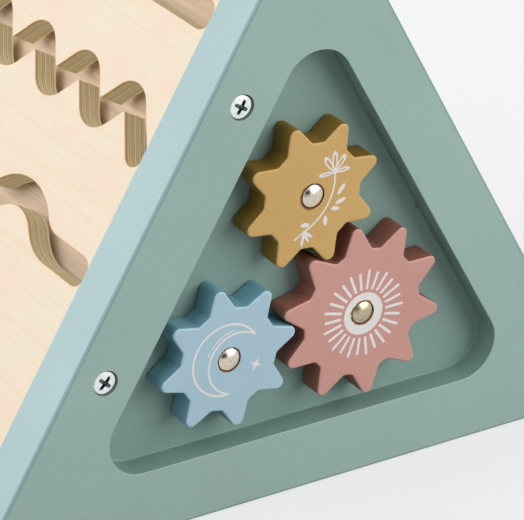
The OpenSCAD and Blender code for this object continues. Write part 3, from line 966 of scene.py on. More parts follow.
@dataclass
class EndPanels:
    """The two lacquered end panels, one with the sunk triangle, and their screws.

    Sink holds the radius, depth and offset of each ring of a screw hole, which
    is bored a little off the screw, so that its edge shows on one side.
    """

    side: float = SIDE
    corner_r: float = 12.0
    front_y: float = FRONT_Y
    rear_y: float = REAR_Y
    thickness: float = PANEL
    edge_r: float = 1.0
    back_r: float = 0.4
    band: float = 23.0
    pocket_r: float = 13.0
    pocket_dx: float = 1.4
    pocket_deep: float = 10.0
    rim_r: float = 0.24
    rim_steps: int = 3
    bead_r: float = 0.6
    screw_off: float = 48.7
    ply_mid: float = PLY_AT + PLY / 2
    sink: tuple[tuple[float, float, float], ...] = (
        (4.4, 0.0, 0.25),
        (4.22, 0.6, 0.12),
        (2.1, 2.7, 0.0),
    )
    turns: dict[str, float] = field(default_factory=lambda: {"low": 48.0, "high": 59.0})

    @property
    def middle(self) -> Vector:
        """Centre of the triangle, as x and z."""
        return Vector((0.0, self.side / (2 * math.sqrt(3))))

    def triangle(self, inset: float, radius: float, outset: float, shift: float = 0.0) -> list[Arc]:
        """Outline of a triangle with round corners.

        Args:
            inset: Distance of its sides from the outer sides.
            radius: Radius of its corners.
            outset: What the outline is then grown by.
            shift: Sideways offset.

        Returns:
            The three corner arcs.
        """
        reach = self.side / math.sqrt(3) - 2 * (inset + radius)
        arcs = []
        for turn in (90, 210, 330):
            corner = self.middle + polar(reach, turn) + Vector((shift, 0.0))
            arcs.append(Arc(corner, corner + polar(radius + outset, turn - 60), 120.0, steps=24))
        return arcs

    def screw_places(self) -> list[Vector]:
        """Works out where the screws are, in the middle of the slope's plywood.

        Returns:
            The lower and the upper place, as x and z.
        """
        made = []
        for along in (self.side / 2 - self.screw_off, self.side / 2 + self.screw_off):
            slope = polar(along, 60) + Vector((-self.side / 2, 0.0))
            made.append(slope + polar(self.ply_mid, -30))
        return made

    def shell(self, bm: BMesh, y: float, towards: int) -> list[BMEdge]:
        """Wall, rounded edge and back of a panel.

        Args:
            bm: Mesh that gets the faces.
            y: Depth of the panel's outer face.
            towards: 1 where the panel lies behind that face, -1 before it.

        Returns:
            The outline that its outer face has to fill.
        """
        edge = quarter(self.edge_r, steps=4)
        back = [
            (inset, self.thickness - depth) for inset, depth in reversed(quarter(self.back_r, steps=2))
        ]
        loops = [
            draw_loop(bm, self.triangle(0.0, self.corner_r, -inset), y + towards * depth)
            for inset, depth in edge + back
        ]
        number(loft(bm, loops[: len(edge)]), PanelArea.EDGE)
        number([*loft(bm, loops[len(edge) - 1 :]), *fill(bm, loops[-1:])], PanelArea.SIDE)
        return loops[0]

    def screw_sink(self, bm: BMesh, at: Vector, y: float, towards: int) -> list[BMEdge]:
        """Countersunk hole of a screw.

        Args:
            bm: Mesh that gets the hole's wall.
            at: Its centre, as x and z.
            y: Depth of the panel's outer face.
            towards: 1 where the panel lies behind that face, -1 before it.

        Returns:
            The outline of the hole in the face.
        """
        loops = [
            draw_circle(bm, at + Vector((shift, -shift / 3)), radius, y + towards * depth)
            for radius, depth, shift in self.sink
        ]
        # The hole's wall gets the darkened lacquer: painted shade beside the sunk head
        number(loft(bm, loops), PanelArea.HOLE)
        number(fill(bm, loops[-1:]), PanelArea.FACE)
        return loops[0]

    def build_front(self) -> None:
        """Builds the front panel with the sunk triangle."""
        bm = bmesh.new()
        outer = self.shell(bm, self.front_y, 1)
        levels = [(depth, outset) for outset, depth in quarter(self.rim_r, self.rim_steps)]
        levels += [
            (self.pocket_deep - inset, -depth) for inset, depth in quarter(self.bead_r, steps=3)
        ]
        loops = [
            draw_loop(
                bm,
                self.triangle(self.band, self.pocket_r, outset, self.pocket_dx),
                self.front_y + depth,
            )
            for depth, outset in levels
        ]
        milled = loft(bm, loops[self.rim_steps : self.rim_steps + 2])
        corner = loft(bm, loops[self.rim_steps + 1 :])
        rim = loft(bm, loops[:2])
        # The rounded steps of the rim get the paler lacquer: a painted highlight along the edge
        painted_highlight_rim = loft(bm, loops[1 : self.rim_steps + 1])
        number(fill(bm, loops[-1:]), PanelArea.FLOOR)
        number(milled, PanelArea.WALL)
        number(corner, PanelArea.CORNER)
        number(rim, PanelArea.FACE)
        number(painted_highlight_rim, PanelArea.RIM)
        holes = [self.screw_sink(bm, at, self.front_y, 1) for at in self.screw_places()]
        number(fill(bm, [outer, loops[0], *holes]), PanelArea.FACE)
        finishes = list(SAGE_LACQUERS.values())
        nodes = ["front_ring", "front_plate"]
        finish_piece("front_panel", bm, finishes, "housing", nodes)

    def build_rear(self) -> None:
        """Builds the plain rear panel, which has no sunk triangle and so none of its areas."""
        bm = bmesh.new()
        outer = self.shell(bm, self.rear_y, -1)
        holes = [self.screw_sink(bm, at, self.rear_y, -1) for at in self.screw_places()]
        number(fill(bm, [outer, *holes]), PanelArea.FACE)
        finishes = list(SAGE_LACQUERS.values())[: PanelArea.FLOOR]
        finish_piece("rear_board", bm, finishes, "housing", ["rear_panel"])

    def build_screws(self) -> None:
        """Builds the four screws."""
        for height, at in zip(("low", "high"), self.screw_places()):
            CrossScrew(f"front_screw_{height}", at, self.front_y, 1, turn=self.turns[height]).build()
            CrossScrew(f"rear_screw_{height}", at, self.rear_y, -1).build()

    def build(self) -> None:
        """Builds both panels and their screws."""
        self.build_front()
        self.build_rear()
        self.build_screws()


@dataclass
class ToothedWheel:
    """One lacquered wheel with straight flanks, round tips and a domed axle.

    Its teeth are given by the pitch radius, what they add to it, half their
    width at it, their whole depth and the slant of their flanks in degrees.
    """

    name: str
    tint: Tint
    slot: str
    teeth: int
    pitch_r: float
    add: float
    half: float
    depth: float
    hub: Vector
    phase: float
    front_y: float = FRONT_Y
    thickness: float = 9.5
    flank: float = 24.0
    root_r: float = 1.5
    rim_r: float = 0.7
    rim_steps: int = 4
    back_r: float = 0.5
    ease: float = 0.12
    sink_r: float = 4.2
    sink_deep: float = 2.5
    bore_r: float = 2.55
    head_r: float = 3.9
    head_t: float = 2.2
    dome_h: float = 1.15
    dome_steps: int = 14
    turn_steps: int = 64
    stem_r: float = 2.5
    stem_end: float = 17.9
    chipped: float = 4.4
    chip_shift: float = 0.05
    plating: PlatedSteel = NICKEL

    def tooth(self, inset: float) -> list[Arc]:
        """Arcs of one tooth that points along X, about the origin.

        Args:
            inset: What the outline is drawn in by.

        Returns:
            The arcs of one foot, the tip and the other foot.
        """
        lean = math.radians(self.flank)
        step = math.pi / self.teeth
        tip_r = (self.half - self.add * math.tan(lean)) * math.cos(lean) / (1 - math.sin(lean))
        top = Vector((self.pitch_r + self.add - tip_r, 0.0))
        floor = self.pitch_r + self.add - self.depth
        x = (floor - math.sin(step) * (self.half + self.pitch_r * math.tan(lean))) / (
            math.cos(step) - math.sin(step) * math.tan(lean)
        )
        foot = Vector((x, self.half + (self.pitch_r - x) * math.tan(lean)))
        up = Vector((math.cos(lean), -math.sin(lean)))
        out = Vector((-math.sin(step), math.cos(step)))
        half_gap = up.angle(out) / 2
        centre = foot + (up + out).normalized() * self.root_r / math.sin(half_gap)
        reach = self.root_r / math.tan(half_gap)
        on_flank = (foot + up * reach - centre).normalized() * (self.root_r + inset)
        on_floor = (foot + out * reach - centre).normalized() * (self.root_r + inset)
        sweep = math.degrees(on_flank.angle(on_floor))
        mirror = Vector((1.0, -1.0))
        return [
            Arc(centre * mirror, (centre + on_floor) * mirror, -sweep, steps=6),
            Arc(top, top + polar(tip_r - inset, self.flank - 90), 180 - 2 * self.flank, steps=12),
            Arc(centre, centre + on_flank, -sweep, steps=6),
        ]

    def outline(self, inset: float) -> list[Arc]:
        """Works out the outline of the whole wheel.

        Args:
            inset: What the outline is drawn in by.

        Returns:
            Its arcs, tooth by tooth.
        """
        arcs = []
        for i in range(self.teeth):
            turn = Matrix.Rotation(math.radians(self.phase + 360 * i / self.teeth), 2)
            arcs += [
                Arc(self.hub + turn @ a.centre, self.hub + turn @ a.start, a.degrees, a.steps)
                for a in self.tooth(inset)
            ]
        return arcs

    def build_wheel(self) -> None:
        """Builds the wheel with a rounded front rim and a counterbore for the axle's head."""
        bm = bmesh.new()
        levels = quarter(self.rim_r, self.rim_steps)
        levels += [
            (inset, self.thickness - depth) for inset, depth in reversed(quarter(self.back_r, steps=2))
        ]
        loops = [draw_loop(bm, self.outline(inset), self.front_y + depth) for inset, depth in levels]
        number(loft(bm, loops[self.rim_steps - 1 :]), WheelArea.FLANK)
        loft(bm, loops[: self.rim_steps])
        hole = [
            draw_circle(bm, self.hub, radius, self.front_y + depth)
            for radius, depth in (
                (self.sink_r + self.ease, 0.0),
                (self.sink_r, self.ease),
                (self.sink_r, self.sink_deep),
                (self.bore_r, self.sink_deep),
                (self.bore_r, self.thickness),
            )
        ]
        number(loft(bm, hole), WheelArea.BORE)
        fill(bm, [loops[0], hole[0]])
        fill(bm, [loops[-1], hole[-1]])
        colour = self.tint.name.lower()
        lacquer = SprayedLacquer(
            f"lacquer_{colour}_wheel",
            self.tint.value,
            hub=(self.hub.x, self.hub.y),
            chipped=self.chipped,
            chip_shift=self.chip_shift,
            speckle=0.9,
        )
        # The sawn flanks get the darker lacquer: painted shade of the wheels' sides, partly the lacquer
        # that they drink
        sawn = SprayedLacquer(f"lacquer_{colour}_sawn_edge_painted_shade", SAWN[self.tint], speckle=0.86)
        finishes = [lacquer, BARE, sawn]
        finish_piece(f"{self.name}_lacquered", bm, finishes, self.name, [self.name])

    def build_axle(self) -> None:
        """Builds the steel axle with a domed head."""
        bm = bmesh.new()
        section = dome(self.head_r - self.ease, self.dome_h, self.dome_steps)
        section += [
            (self.head_r, self.ease),
            (self.head_r, self.head_t),
            (self.stem_r, self.head_t),
            (self.stem_r, self.stem_end),
            (0.0, self.stem_end),
        ]
        turn_section(bm, self.hub, self.front_y, section, self.turn_steps)
        axle = self.name.replace("wheel", "axle")
        finish_piece(f"{axle}_steel", bm, [self.plating], "housing", [axle], sharp=40.0)

    def build(self) -> None:
        """Builds the wheel and its axle."""
        self.build_wheel()
        self.build_axle()


@dataclass
class Print:
    """White figure printed on a wheel: thin closed shapes on its face.

    Shapes are drawn in millimetres from the hub, u to the right and v up, and
    then get their thickness and are moved to the wheel. Each lies in the next
    of a few layers.
    """

    wheel: ToothedWheel
    proud: float = 0.04
    sunk: float = 0.08
    layer_h: float = 0.004
    layers: int = 8
    layer: int = 0
    end_steps: int = 14
    leaf_steps: int = 28
    ring_steps: int = 64
    bm: BMesh = field(default_factory=bmesh.new)

    def lay_over(self, verts: Iterable[BMVert]) -> None:
        """Lays a shape a few microns higher than the one before, so that none coincide."""
        self.layer = (self.layer + 1) % self.layers
        bmesh.ops.translate(self.bm, vec=(0.0, 0.0, self.layer * self.layer_h), verts=list(verts))

    def stroke(self, start: Vector, end: Vector, width: float) -> None:
        """Adds a straight stroke with round ends.

        Args:
            start: Middle of one end.
            end: Middle of the other end.
            width: Width of the stroke.
        """
        along = end - start
        centre = start.to_3d()
        lie = Matrix.Translation(centre)
        made = bmesh.ops.create_circle(
            self.bm, cap_ends=True, segments=self.end_steps, radius=width / 2, matrix=lie
        )["verts"]
        turn = Matrix.Rotation(math.atan2(along.y, along.x) - math.pi / 2, 4, "Z")
        bmesh.ops.rotate(self.bm, cent=centre, matrix=turn, verts=made)
        far = [v for v in made if (v.co - centre).xy.dot(along) > 0]
        bmesh.ops.translate(self.bm, vec=(along.x, along.y, 0.0), verts=far)
        self.lay_over(made)

    def band(self, centre: Vector, radius: float, width: float, start: float, end: float) -> None:
        """Adds a curved stroke.

        Args:
            centre: Centre of its curve.
            radius: Radius of its middle line.
            width: Width of the stroke.
            start: Direction of one end, seen from the centre, in degrees.
            end: Direction of the other end.
        """
        inner = centre + polar(radius - width / 2, start)
        outer = centre + polar(radius + width / 2, start)
        verts = [self.bm.verts.new((p.x, p.y, 0.0)) for p in (inner, outer)]
        edge = self.bm.edges.new(verts)
        old = set(self.bm.verts) - set(verts)
        bmesh.ops.spin(
            self.bm,
            geom=[*verts, edge],
            cent=(centre.x, centre.y, 0.0),
            axis=(0.0, 0.0, 1.0),
            angle=math.radians(end - start),
            steps=max(8, int(abs(end - start) / 4)),
            use_merge=False,
        )
        self.lay_over(set(self.bm.verts) - old)

    def leaf(
        self,
        base: Vector,
        tip: Vector,
        width: float,
        line: float = 0.0,
        point: float = 0.45,
        lift: float = 0.0,
    ) -> None:
        """Adds a pointed leaf.

        Args:
            base: Its foot.
            tip: Its point.
            width: Its greatest width.
            line: Width of its outline, or 0 for a full leaf.
            point: How slender its ends are.
            lift: Share of its half length by which its widest place lies nearer to the tip.
        """
        along = tip - base
        middle = (base + tip) / 2
        turn = math.atan2(along.y, along.x) - math.pi / 2
        lie = Matrix.Translation((middle.x, middle.y, 0.0)) @ Matrix.Rotation(turn, 4, "Z")
        halves = [(width / 2, along.length / 2)]
        if line:
            # At its pointed ends the outline is 2.2 times as wide as at its sides
            halves.append((width / 2 - line, along.length / 2 - 2.2 * line))
        made: list[BMVert] = []
        for across, reach in halves:
            loop = bmesh.ops.create_circle(
                self.bm, cap_ends=not line, segments=self.leaf_steps, radius=1.0
            )["verts"]
            for vert in loop:
                vert.co.x *= abs(vert.co.x) ** point
                vert.co.y += lift * (1 - vert.co.y**2)
            size = Matrix.Diagonal((across, reach, 1.0, 1.0))
            bmesh.ops.transform(self.bm, matrix=lie @ size, verts=loop)
            made += loop
        if line:
            edges = {e for v in made for e in v.link_edges}
            bmesh.ops.bridge_loops(self.bm, edges=list(edges))
        self.lay_over(made)

    def ring(self, centre: Vector, outer: float, inner: float) -> None:
        """Adds a full ring.

        Args:
            centre: Its centre.
            outer: Its outer radius.
            inner: Its inner radius.
        """
        lie = Matrix.Translation(centre.to_3d())
        old = set(self.bm.edges)
        for radius in (outer, inner):
            bmesh.ops.create_circle(
                self.bm, cap_ends=False, segments=self.ring_steps, radius=radius, matrix=lie
            )
        bmesh.ops.bridge_loops(self.bm, edges=[e for e in self.bm.edges if e not in old])

    def press(self, name: str, finish: Finish) -> None:
        """Gives the drawn shapes their thickness and lays them on the wheel.

        Args:
            name: Name of the piece.
            finish: Its ink.
        """
        bm = self.bm
        bmesh.ops.recalc_face_normals(bm, faces=bm.faces)
        flipped = [f for f in bm.faces if f.normal.z < 0]
        bmesh.ops.reverse_faces(bm, faces=flipped)
        tops = list(bm.faces)
        made = bmesh.ops.extrude_face_region(bm, geom=tops, use_keep_orig=True)["geom"]
        lifted = [v for v in made if isinstance(v, BMVert)]
        bmesh.ops.translate(bm, vec=(0.0, 0.0, self.proud + self.sunk), verts=lifted)
        hub = self.wheel.hub
        lay = Matrix(
            (
                (1.0, 0.0, 0.0, hub.x),
                (0.0, 0.0, -1.0, self.wheel.front_y + self.sunk),
                (0.0, 1.0, 0.0, hub.y),
                (0.0, 0.0, 0.0, 1.0),
            )
        )
        bmesh.ops.transform(bm, matrix=lay, verts=bm.verts)
        finish_piece(name, bm, [finish], self.wheel.name)


@dataclass
class WheelPrints:
    """The three printed figures: a sprig, a sun and a crescent moon."""

    upper: ToothedWheel
    right: ToothedWheel
    left: ToothedWheel

    def ink(self, wheel: ToothedWheel, chipped: float) -> SprayedLacquer:
        """Mixes the white screen-printing ink, chipped at the hub as the lacquer is.

        Args:
            wheel: Wheel that is printed.
            chipped: Radius to which the chips reach.

        Returns:
            The ink as a finish.
        """
        return SprayedLacquer(
            f"ink_white_{wheel.name}",
            Tint.WHITE.value,
            hub=(wheel.hub.x, wheel.hub.y),
            chipped=chipped,
            chip_shift=0.2,
            roughness=0.6,
            speckle=0.95,
        )

    def build_sprig(self) -> None:
        """Draws a sprig with an open flower, leaves and a fan of roots."""
        drawn = Print(self.upper)
        flower = Vector((8.0, 6.65))
        for turn, length, width in (
            (180.5, 6.0, 1.6),
            (4.6, 5.8, 1.7),
            (122.8, 7.3, 2.2),
            (53.7, 6.9, 2.1),
            (90.8, 7.5, 2.2),
        ):
            tip = flower + polar(length, turn)
            drawn.leaf(flower, tip, width, line=0.58, point=0.5, lift=0.3)
        drawn.stroke(flower + Vector((0.0, -0.2)), flower + Vector((0.0, 0.5)), 1.0)
        bend, stem_r, root = Vector((-10.1, 5.1)), 18.35, -68.0
        drawn.band(bend, stem_r, 0.62, 5.3, root)
        foot = bend + polar(stem_r, root)
        drawn.stroke(foot, foot + Vector((-3.6, -2.2)), 0.55)
        for turn, length, width in ((262, 5.3, 1.1), (295, 4.6, 1.0), (322, 4.4, 1.1)):
            drawn.leaf(foot, foot + polar(length, turn), width)
        for base, tip in (
            ((9.4, -1.6), (12.2, 1.8)),
            ((8.6, -4.7), (12.6, -3.4)),
            ((7.0, -5.9), (10.3, -6.6)),
            ((5.0, -7.9), (4.9, -11.7)),
            ((-1.0, -9.9), (-4.6, -9.4)),
        ):
            drawn.leaf(Vector(base), Vector(tip), 1.55)
        drawn.press("sprig_print", self.ink(self.upper, 4.3))

    def build_sun(self) -> None:
        """Draws a sun: a ring round the hub and rays of two lengths."""
        drawn = Print(self.right)
        middle = Vector((0.2, -0.5))
        drawn.ring(middle, outer=7.6, inner=4.32)
        rays, ray_start, ray_ends = 26, 9.2, (14.7, 15.4)
        for i in range(rays):
            turn = 90 + 360 * (i + 0.5) / rays
            start, end = (middle + polar(reach, turn) for reach in (ray_start, ray_ends[i % 2]))
            drawn.stroke(start, end, width=1.0)
        drawn.press("sun_print", self.ink(self.right, 4.5))

    def build_moon(self) -> None:
        """Draws a crescent moon of two arcs, with a broken inner line and a small star."""
        drawn = Print(self.left)
        outer, outer_r = Vector((-1.1, 0.1)), 12.7
        inner, inner_r = Vector((3.1, -2.0)), 11.0
        tips = self.crossings(outer, outer_r, inner, inner_r)
        for centre, radius, width in ((outer, outer_r, 0.75), (inner, inner_r, 0.68)):
            turns = [math.degrees(math.atan2(*(t - centre).yx)) for t in tips]
            drawn.band(centre, radius, width, turns[0], turns[0] + (turns[1] - turns[0]) % 360)
        shine_r = inner_r + 1.35
        for start, end in ((98.0, 143.0), (149.0, 157.0)):
            drawn.band(inner, shine_r, 0.42, start, end)
        star = Vector((10.1, -4.2))
        for turn, reach in ((65.0, 2.7), (155.0, 2.3)):
            drawn.leaf(star - polar(reach, turn), star + polar(reach, turn), 1.25, point=1.7)
        drawn.press("moon_print", self.ink(self.left, 4.3))

    @staticmethod
    def crossings(one: Vector, one_r: float, other: Vector, other_r: float) -> list[Vector]:
        """Works out the points where two circles cross.

        Args:
            one: Centre of the first circle.
            one_r: Its radius.
            other: Centre of the second circle.
            other_r: Its radius.

        Returns:
            The two points, the upper one first.
        """
        apart = other - one
        near = (apart.length_squared + one_r**2 - other_r**2) / (2 * apart.length)
        high = math.sqrt(one_r**2 - near**2)
        along = apart.normalized()
        across = Vector((-along.y, along.x))
        return [one + along * near + across * high * k for k in (1, -1)]

    def build(self) -> None:
        """Builds the three prints."""
        self.build_sprig()
        self.build_sun()
        self.build_moon()


@dataclass(frozen=True)
class Bend:
    """Bend of a track's middle line, from one direction seen from its centre to another."""

    centre: Vector
    radius: float
    start: float
    sweep: float

    @property
    def side(self) -> float:
        """1 for a bend to the left and -1 for one to the right."""
        return math.copysign(1.0, self.sweep)


@dataclass(frozen=True)
class Track:
    """Cut track round a middle line of bends and straight runs, with round ends.

    The line lies on the slope: u runs from the front panel to the rear one and
    s up the slope.
    """

    first: Vector
    last: Vector
    bends: tuple[Bend, ...] = ()
    half: float = 5.0
    bend_steps: int = 16
    end_steps: int = 20

    def outline(self, outset: float) -> list[Arc]:
        """Works out the outline of the track.

        Args:
            outset: What the outline is grown by.

        Returns:
            Its arcs in order round the track.
        """
        width = self.half + outset
        there, back = [], []
        for bend in self.bends:
            inner = bend.centre + polar(bend.radius - bend.side * width, bend.start)
            there.append(Arc(bend.centre, inner, bend.sweep, self.bend_steps))
            outer = bend.centre + polar(bend.radius + bend.side * width, bend.start + bend.sweep)
            back.insert(0, Arc(bend.centre, outer, -bend.sweep, self.bend_steps))
        set_out, arrive = 0.0, 0.0
        if self.bends:
            set_out = self.bends[0].start + 90 * self.bends[0].side
            arrive = self.bends[-1].start + self.bends[-1].sweep + 90 * self.bends[-1].side
        tip = Arc(self.last, self.last + polar(width, arrive + 90), -180.0, self.end_steps)
        foot = Arc(self.first, self.first + polar(width, set_out - 90), -180.0, self.end_steps)
        return [*there, tip, *back, foot]


@dataclass
class PlywoodBox:
    """Plywood panels, the board behind the tracks, its strips and the dowels.

    On the slope u is counted from the front panel, s up from its lower edge
    and q, the depth, from the side of the triangle. Zig_h and wave_h are the
    whole rise of a track, and zig_half and wave_half half of its period.
    Wave_share is the peak's share of the radii of peak and valley, and
    wave_gap is by how many degrees each bend stops early.
    """

    side: float = SIDE
    length: float = REAR_Y - FRONT_Y - 2 * PANEL
    front: float = FRONT_Y + PANEL
    face_q: float = PLY_AT
    back_q: float = PLY_AT + PLY
    slot_rim: float = 0.3
    track_end: float = 14.3
    line_s: float = 192.7
    zig_low: float = 143.7
    zig_h: float = 16.6
    zig_half: float = 14.6
    zig_bend: float = 5.7
    zig_legs: int = 9
    wave_low: float = 100.9
    wave_h: float = 10.1
    wave_half: float = 24.9
    wave_share: float = 0.54
    wave_gap: float = 0.3

    def straight(self) -> Track:
        """Returns the straight track near the ridge."""
        ends = [Vector((u, self.line_s)) for u in (self.track_end, self.length - self.track_end)]
        return Track(*ends)

    def zigzag(self) -> Track:
        """Works out the zigzag, which starts low and ends high.

        Returns:
            The track.
        """
        lean = math.degrees(math.atan2(self.zig_h, self.zig_half))
        corners = [
            Vector((self.track_end + i * self.zig_half, self.zig_low + i % 2 * self.zig_h))
            for i in range(self.zig_legs + 1)
        ]
        away = self.zig_bend / math.cos(math.radians(lean))
        bends = []
        for i in range(1, self.zig_legs):
            # A peak bends to the right over a centre below it, a valley to the left
            up = 1 if i % 2 else -1
            centre = corners[i] - Vector((0.0, up * away))
            bends.append(Bend(centre, self.zig_bend, up * (90 + lean), -up * 2 * lean))
        return Track(corners[0], corners[-1], tuple(bends))

    def wave(self) -> Track:
        """Works out the wave, with a valley in the middle.

        Returns:
            The track.
        """
        turn = math.degrees(2 * math.atan2(self.wave_h, self.wave_half))
        both = self.wave_half / math.sin(math.radians(turn))
        peak_r = both * self.wave_share
        valley_r = both - peak_r
        middle = self.length / 2
        # Each bend stops a little early, so that a short straight edge joins it with the next
        turn -= self.wave_gap
        bends = []
        for step, first, sweep in ((-2, 0, 1), (-1, -1, -2), (0, -1, 2), (1, -1, -2), (2, -1, 1)):
            peak = step % 2
            level = self.wave_low + (self.wave_h - peak_r if peak else valley_r)
            centre = Vector((middle + step * self.wave_half, level))
            start = 90 - first * turn if peak else -90 + first * turn
            bends.append(Bend(centre, peak_r if peak else valley_r, start, sweep * turn))
        ends = [Vector((u, self.wave_low)) for u in (self.track_end, self.length - self.track_end)]
        return Track(*ends, tuple(bends))

    def border(self, bm: BMesh, q: float) -> list[BMEdge]:
        """Draws the outline of the slope, whose upper and lower edges are mitred.

        Args:
            bm: Mesh that gets the outline.
            q: Depth of the outline.

        Returns:
            Its edges.
        """
        low = q * math.sqrt(3)
        corners = ((0.0, low), (self.length, low), (self.length, self.side - low), (0.0, self.side - low))
        verts = [bm.verts.new((u, q, s)) for u, s in corners]
        return [bm.edges.new(pair) for pair in zip(verts, verts[1:] + verts[:1])]

    def build_tracks(self) -> None:
        """Builds the slope with the cut tracks, whose rims are eased and whose walls show the plies."""
        bm = bmesh.new()
        borders = [self.border(bm, q) for q in (self.face_q, self.back_q)]
        rim = quarter(self.slot_rim, steps=2)
        levels = [(self.face_q + depth, outset) for outset, depth in rim]
        levels.append((self.back_q, 0.0))
        walls = [
            [draw_loop(bm, track.outline(outset), q) for q, outset in levels]
            for track in (self.straight(), self.zigzag(), self.wave())
        ]
        cut = loft(bm, borders)
        for loops in walls:
            cut += loft(bm, loops)
        for end in (0, -1):
            number(fill(bm, [borders[end], *(loops[end] for loops in walls)]), FIRST)
        number(cut, SECOND)
        rise, run = math.sin(math.radians(60)), math.cos(math.radians(60))
        lay = Matrix(
            (
                (0.0, rise, run, -self.side / 2),
                (1.0, 0.0, 0.0, self.front),
                (0.0, -run, rise, 0.0),
                (0.0, 0.0, 0.0, 1.0),
            )
        )
        bmesh.ops.transform(bm, matrix=lay, verts=bm.verts)
        finish_piece("track_slope", bm, [VENEER, PLIES], "housing", ["track_panel"])

    def build(self) -> None:
        """Builds the slope and dresses the other panels."""
        self.build_tracks()
        dress_nodes(VENEER, "side_panel", "base_panel")
        dress_nodes(BOARD, "backing_board", "lower_strip", "upper_strip")
        dress_nodes(BEECH, "side_dowels", "base_dowels")


@dataclass
class Sliders:
    """The three knobs with their pegs and discs."""

    knobs: dict[str, Tint] = field(
        default_factory=lambda: {"line": Tint.OCHRE, "zigzag": Tint.ROSE, "wave": Tint.BLUE}
    )

    def build(self) -> None:
        """Dresses the knobs, pegs and discs."""
        for name, tint in self.knobs.items():
            lacquer = SprayedLacquer(f"lacquer_{tint.name.lower()}_knob", tint.value)
            dress_nodes(lacquer, f"{name}_knob")
            dress_nodes(BEECH, f"{name}_peg", f"{name}_disc")


# Studio


@dataclass(frozen=True)
class Lamp:
    """Square soft light that faces the toy, with its sizes in metres."""

    name: str
    way: tuple[float, float, float]
    level: float
    size: float
    colour: str = "FFFFFF"
    far: float = 1.4
    aim: tuple[float, float, float] = (0.0, 0.0, 0.1)

    def hang(self) -> None:
        """Hangs the lamp at its distance from the toy."""
        data = bpy.data.lights.new(self.name, "AREA")
        data.shape = "SQUARE"
        data.size = self.size
        data.color = paint(self.colour)[:3]
        # A flat light of this power gives a facing surface the level 1 at that distance
        data.energy = self.level * math.pi**2 * self.far**2
        lamp = bpy.data.objects.new(self.name, data)
        towards = Vector(self.way).normalized()
        lamp.location = Vector(self.aim) + towards * self.far
        lamp.rotation_euler = towards.to_track_quat("Z", "Y").to_euler()
        bpy.context.scene.collection.objects.link(lamp)


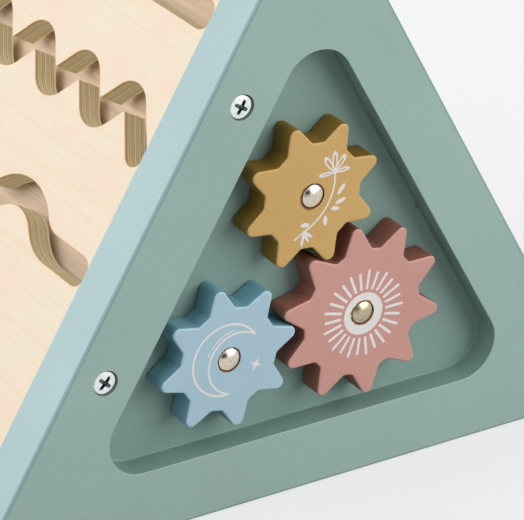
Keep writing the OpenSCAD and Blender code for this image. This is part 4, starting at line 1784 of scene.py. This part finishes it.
@dataclass
class Studio:
    """Floor, light and camera.

    The eye and the lens are in millimetres, angles in degrees, and the floor
    and the clipping range in metres.
    """

    eye: Vector = field(default_factory=lambda: Vector((-567.4, -935.85, 586.6)))
    azimuth: float = -33.298
    elevation: float = 26.449
    roll: float = 1.534
    lens: float = 240.43
    sensor: float = 36.0
    clip: tuple[float, float] = (0.05, 20.0)
    floor_half: float = 3.0
    lamps: tuple[Lamp, ...] = (
        Lamp("key_right", (0.52, -0.72, 0.42), 0.675, 1.2),
        Lamp("soft_left", (-0.70, 0.12, 0.62), 1.37, 1.8, "F7F6FF"),
        Lamp("fill_behind", (0.55, 0.75, 0.40), 0.5, 1.4),
    )
    ambient: float = 0.35
    ambient_colour: str = "FBFCFF"
    dark_way: tuple[float, float, float] = (-0.25, -0.96, 0.11)
    dark_edge: tuple[float, float] = (0.92, 0.965)

    def place_camera(self) -> None:
        """Puts the camera where the photographer's stood."""
        az, el, roll = (math.radians(a) for a in (self.azimuth, self.elevation, self.roll))
        back = Vector((math.sin(az) * math.cos(el), -math.cos(az) * math.cos(el), math.sin(el)))
        right = Vector((0.0, 0.0, 1.0)).cross(back).normalized()
        up = back.cross(right)
        turned_right = math.cos(roll) * right + math.sin(roll) * up
        turned_up = -math.sin(roll) * right + math.cos(roll) * up
        data = bpy.data.cameras.new("camera")
        data.sensor_fit = "HORIZONTAL"
        data.sensor_width = self.sensor
        data.lens = self.lens
        data.clip_start, data.clip_end = self.clip
        camera = bpy.data.objects.new("camera", data)
        stand = Matrix((turned_right, turned_up, back)).transposed().to_4x4()
        camera.matrix_world = Matrix.Translation(self.eye * MM) @ stand
        bpy.context.scene.collection.objects.link(camera)
        bpy.context.scene.camera = camera

    def lay_floor(self) -> None:
        """Lays the pale paper under the toy."""
        bm = bmesh.new()
        bmesh.ops.create_grid(bm, x_segments=4, y_segments=4, size=self.floor_half)
        mesh = bpy.data.meshes.new("floor_paper")
        bm.to_mesh(mesh)
        bm.free()
        mesh.materials.append(FloorPaper("paper_pale").material())
        floor = bpy.data.objects.new("floor_paper", mesh)
        bpy.context.scene.collection.objects.link(floor)

    def light_world(self) -> None:
        """Gives the soft light from all round and the pale backdrop."""
        world = bpy.data.worlds.new("studio")
        world.use_nodes = True
        tree = world.node_tree
        tree.nodes.clear()
        rays = add_node(tree, "LightPath")
        seen = seen_or_mirrored(tree, rays)
        # A direction beside the camera that only glossy rays see dark: a painted dark reflection, which
        # bright metal shows as a dark spot
        place = add_node(tree, "TexCoord").outputs["Generated"]
        near = add_node(tree, "VectorMath", {0: place, 1: self.dark_way}, operation="DOT_PRODUCT")
        low, high = self.dark_edge
        painted_reflection_patch = add_node(tree, "MapRange", {"Value": near, "From Min": low, "From Max": high})
        mirrored = painted_dark_reflection(tree, rays, painted_reflection_patch, BACKDROP, (0.0, 1.0))
        pale = add_node(tree, "Background", {"Color": mirrored, "Strength": 1.0})
        glow = {"Color": paint(self.ambient_colour), "Strength": self.ambient}
        soft = add_node(tree, "Background", glow)
        mixed = add_node(tree, "MixShader", {0: seen, 1: soft, 2: pale})
        add_node(tree, "OutputWorld", {"Surface": mixed})
        bpy.context.scene.world = world

    def build(self) -> None:
        """Builds the whole studio."""
        self.place_camera()
        self.lay_floor()
        for lamp in self.lamps:
            lamp.hang()
        self.light_world()
        bpy.context.scene.view_settings.view_transform = "Standard"


def mesh_phase(way: float, play: float) -> float:
    """Works out the direction of a tooth of a small wheel, from its mesh with the big wheel.

    Args:
        way: Direction of the small wheel's hub from the big wheel's, in degrees.
        play: Turn within the play between the teeth, in degrees.

    Returns:
        The direction in degrees.
    """
    return way + 180 + (180 - (BIG_PHASE - way) * BIG_TEETH) / SMALL_TEETH + play


def main() -> None:
    """Builds the toy piece by piece, and then the studio."""
    logging.basicConfig(level=logging.INFO, format="%(name)s %(message)s")
    small = {"teeth": SMALL_TEETH, "pitch_r": 23.0, "add": 2.6, "half": 2.7, "depth": 7.2}
    upper = ToothedWheel(
        "upper_wheel",
        Tint.OCHRE,
        "ochre_paint",
        hub=Vector((0.6856, 107.0021)),
        phase=mesh_phase(114.2, -7.0),
        chipped=4.65,
        chip_shift=0.4,
        **small,
    )
    left = ToothedWheel(
        "left_wheel",
        Tint.BLUE,
        "blue_paint",
        hub=Vector((-29.7043, 55.9196)),
        phase=mesh_phase(184.3, 7.2),
        **small,
    )
    right = ToothedWheel(
        "right_wheel",
        Tint.ROSE,
        "rose_paint",
        teeth=BIG_TEETH,
        pitch_r=28.75,
        add=2.45,
        half=2.5,
        depth=8.4,
        hub=Vector((21.9, 59.8)),
        phase=BIG_PHASE,
        plating=TARNISHED,
    )
    prints = WheelPrints(upper, right, left)
    for assembly in (EndPanels(), upper, right, left, prints, PlywoodBox(), Sliders(), Studio()):
        assembly.build()
        log.info("%s is built", type(assembly).__name__)


if __name__ == "__main__":
    main()
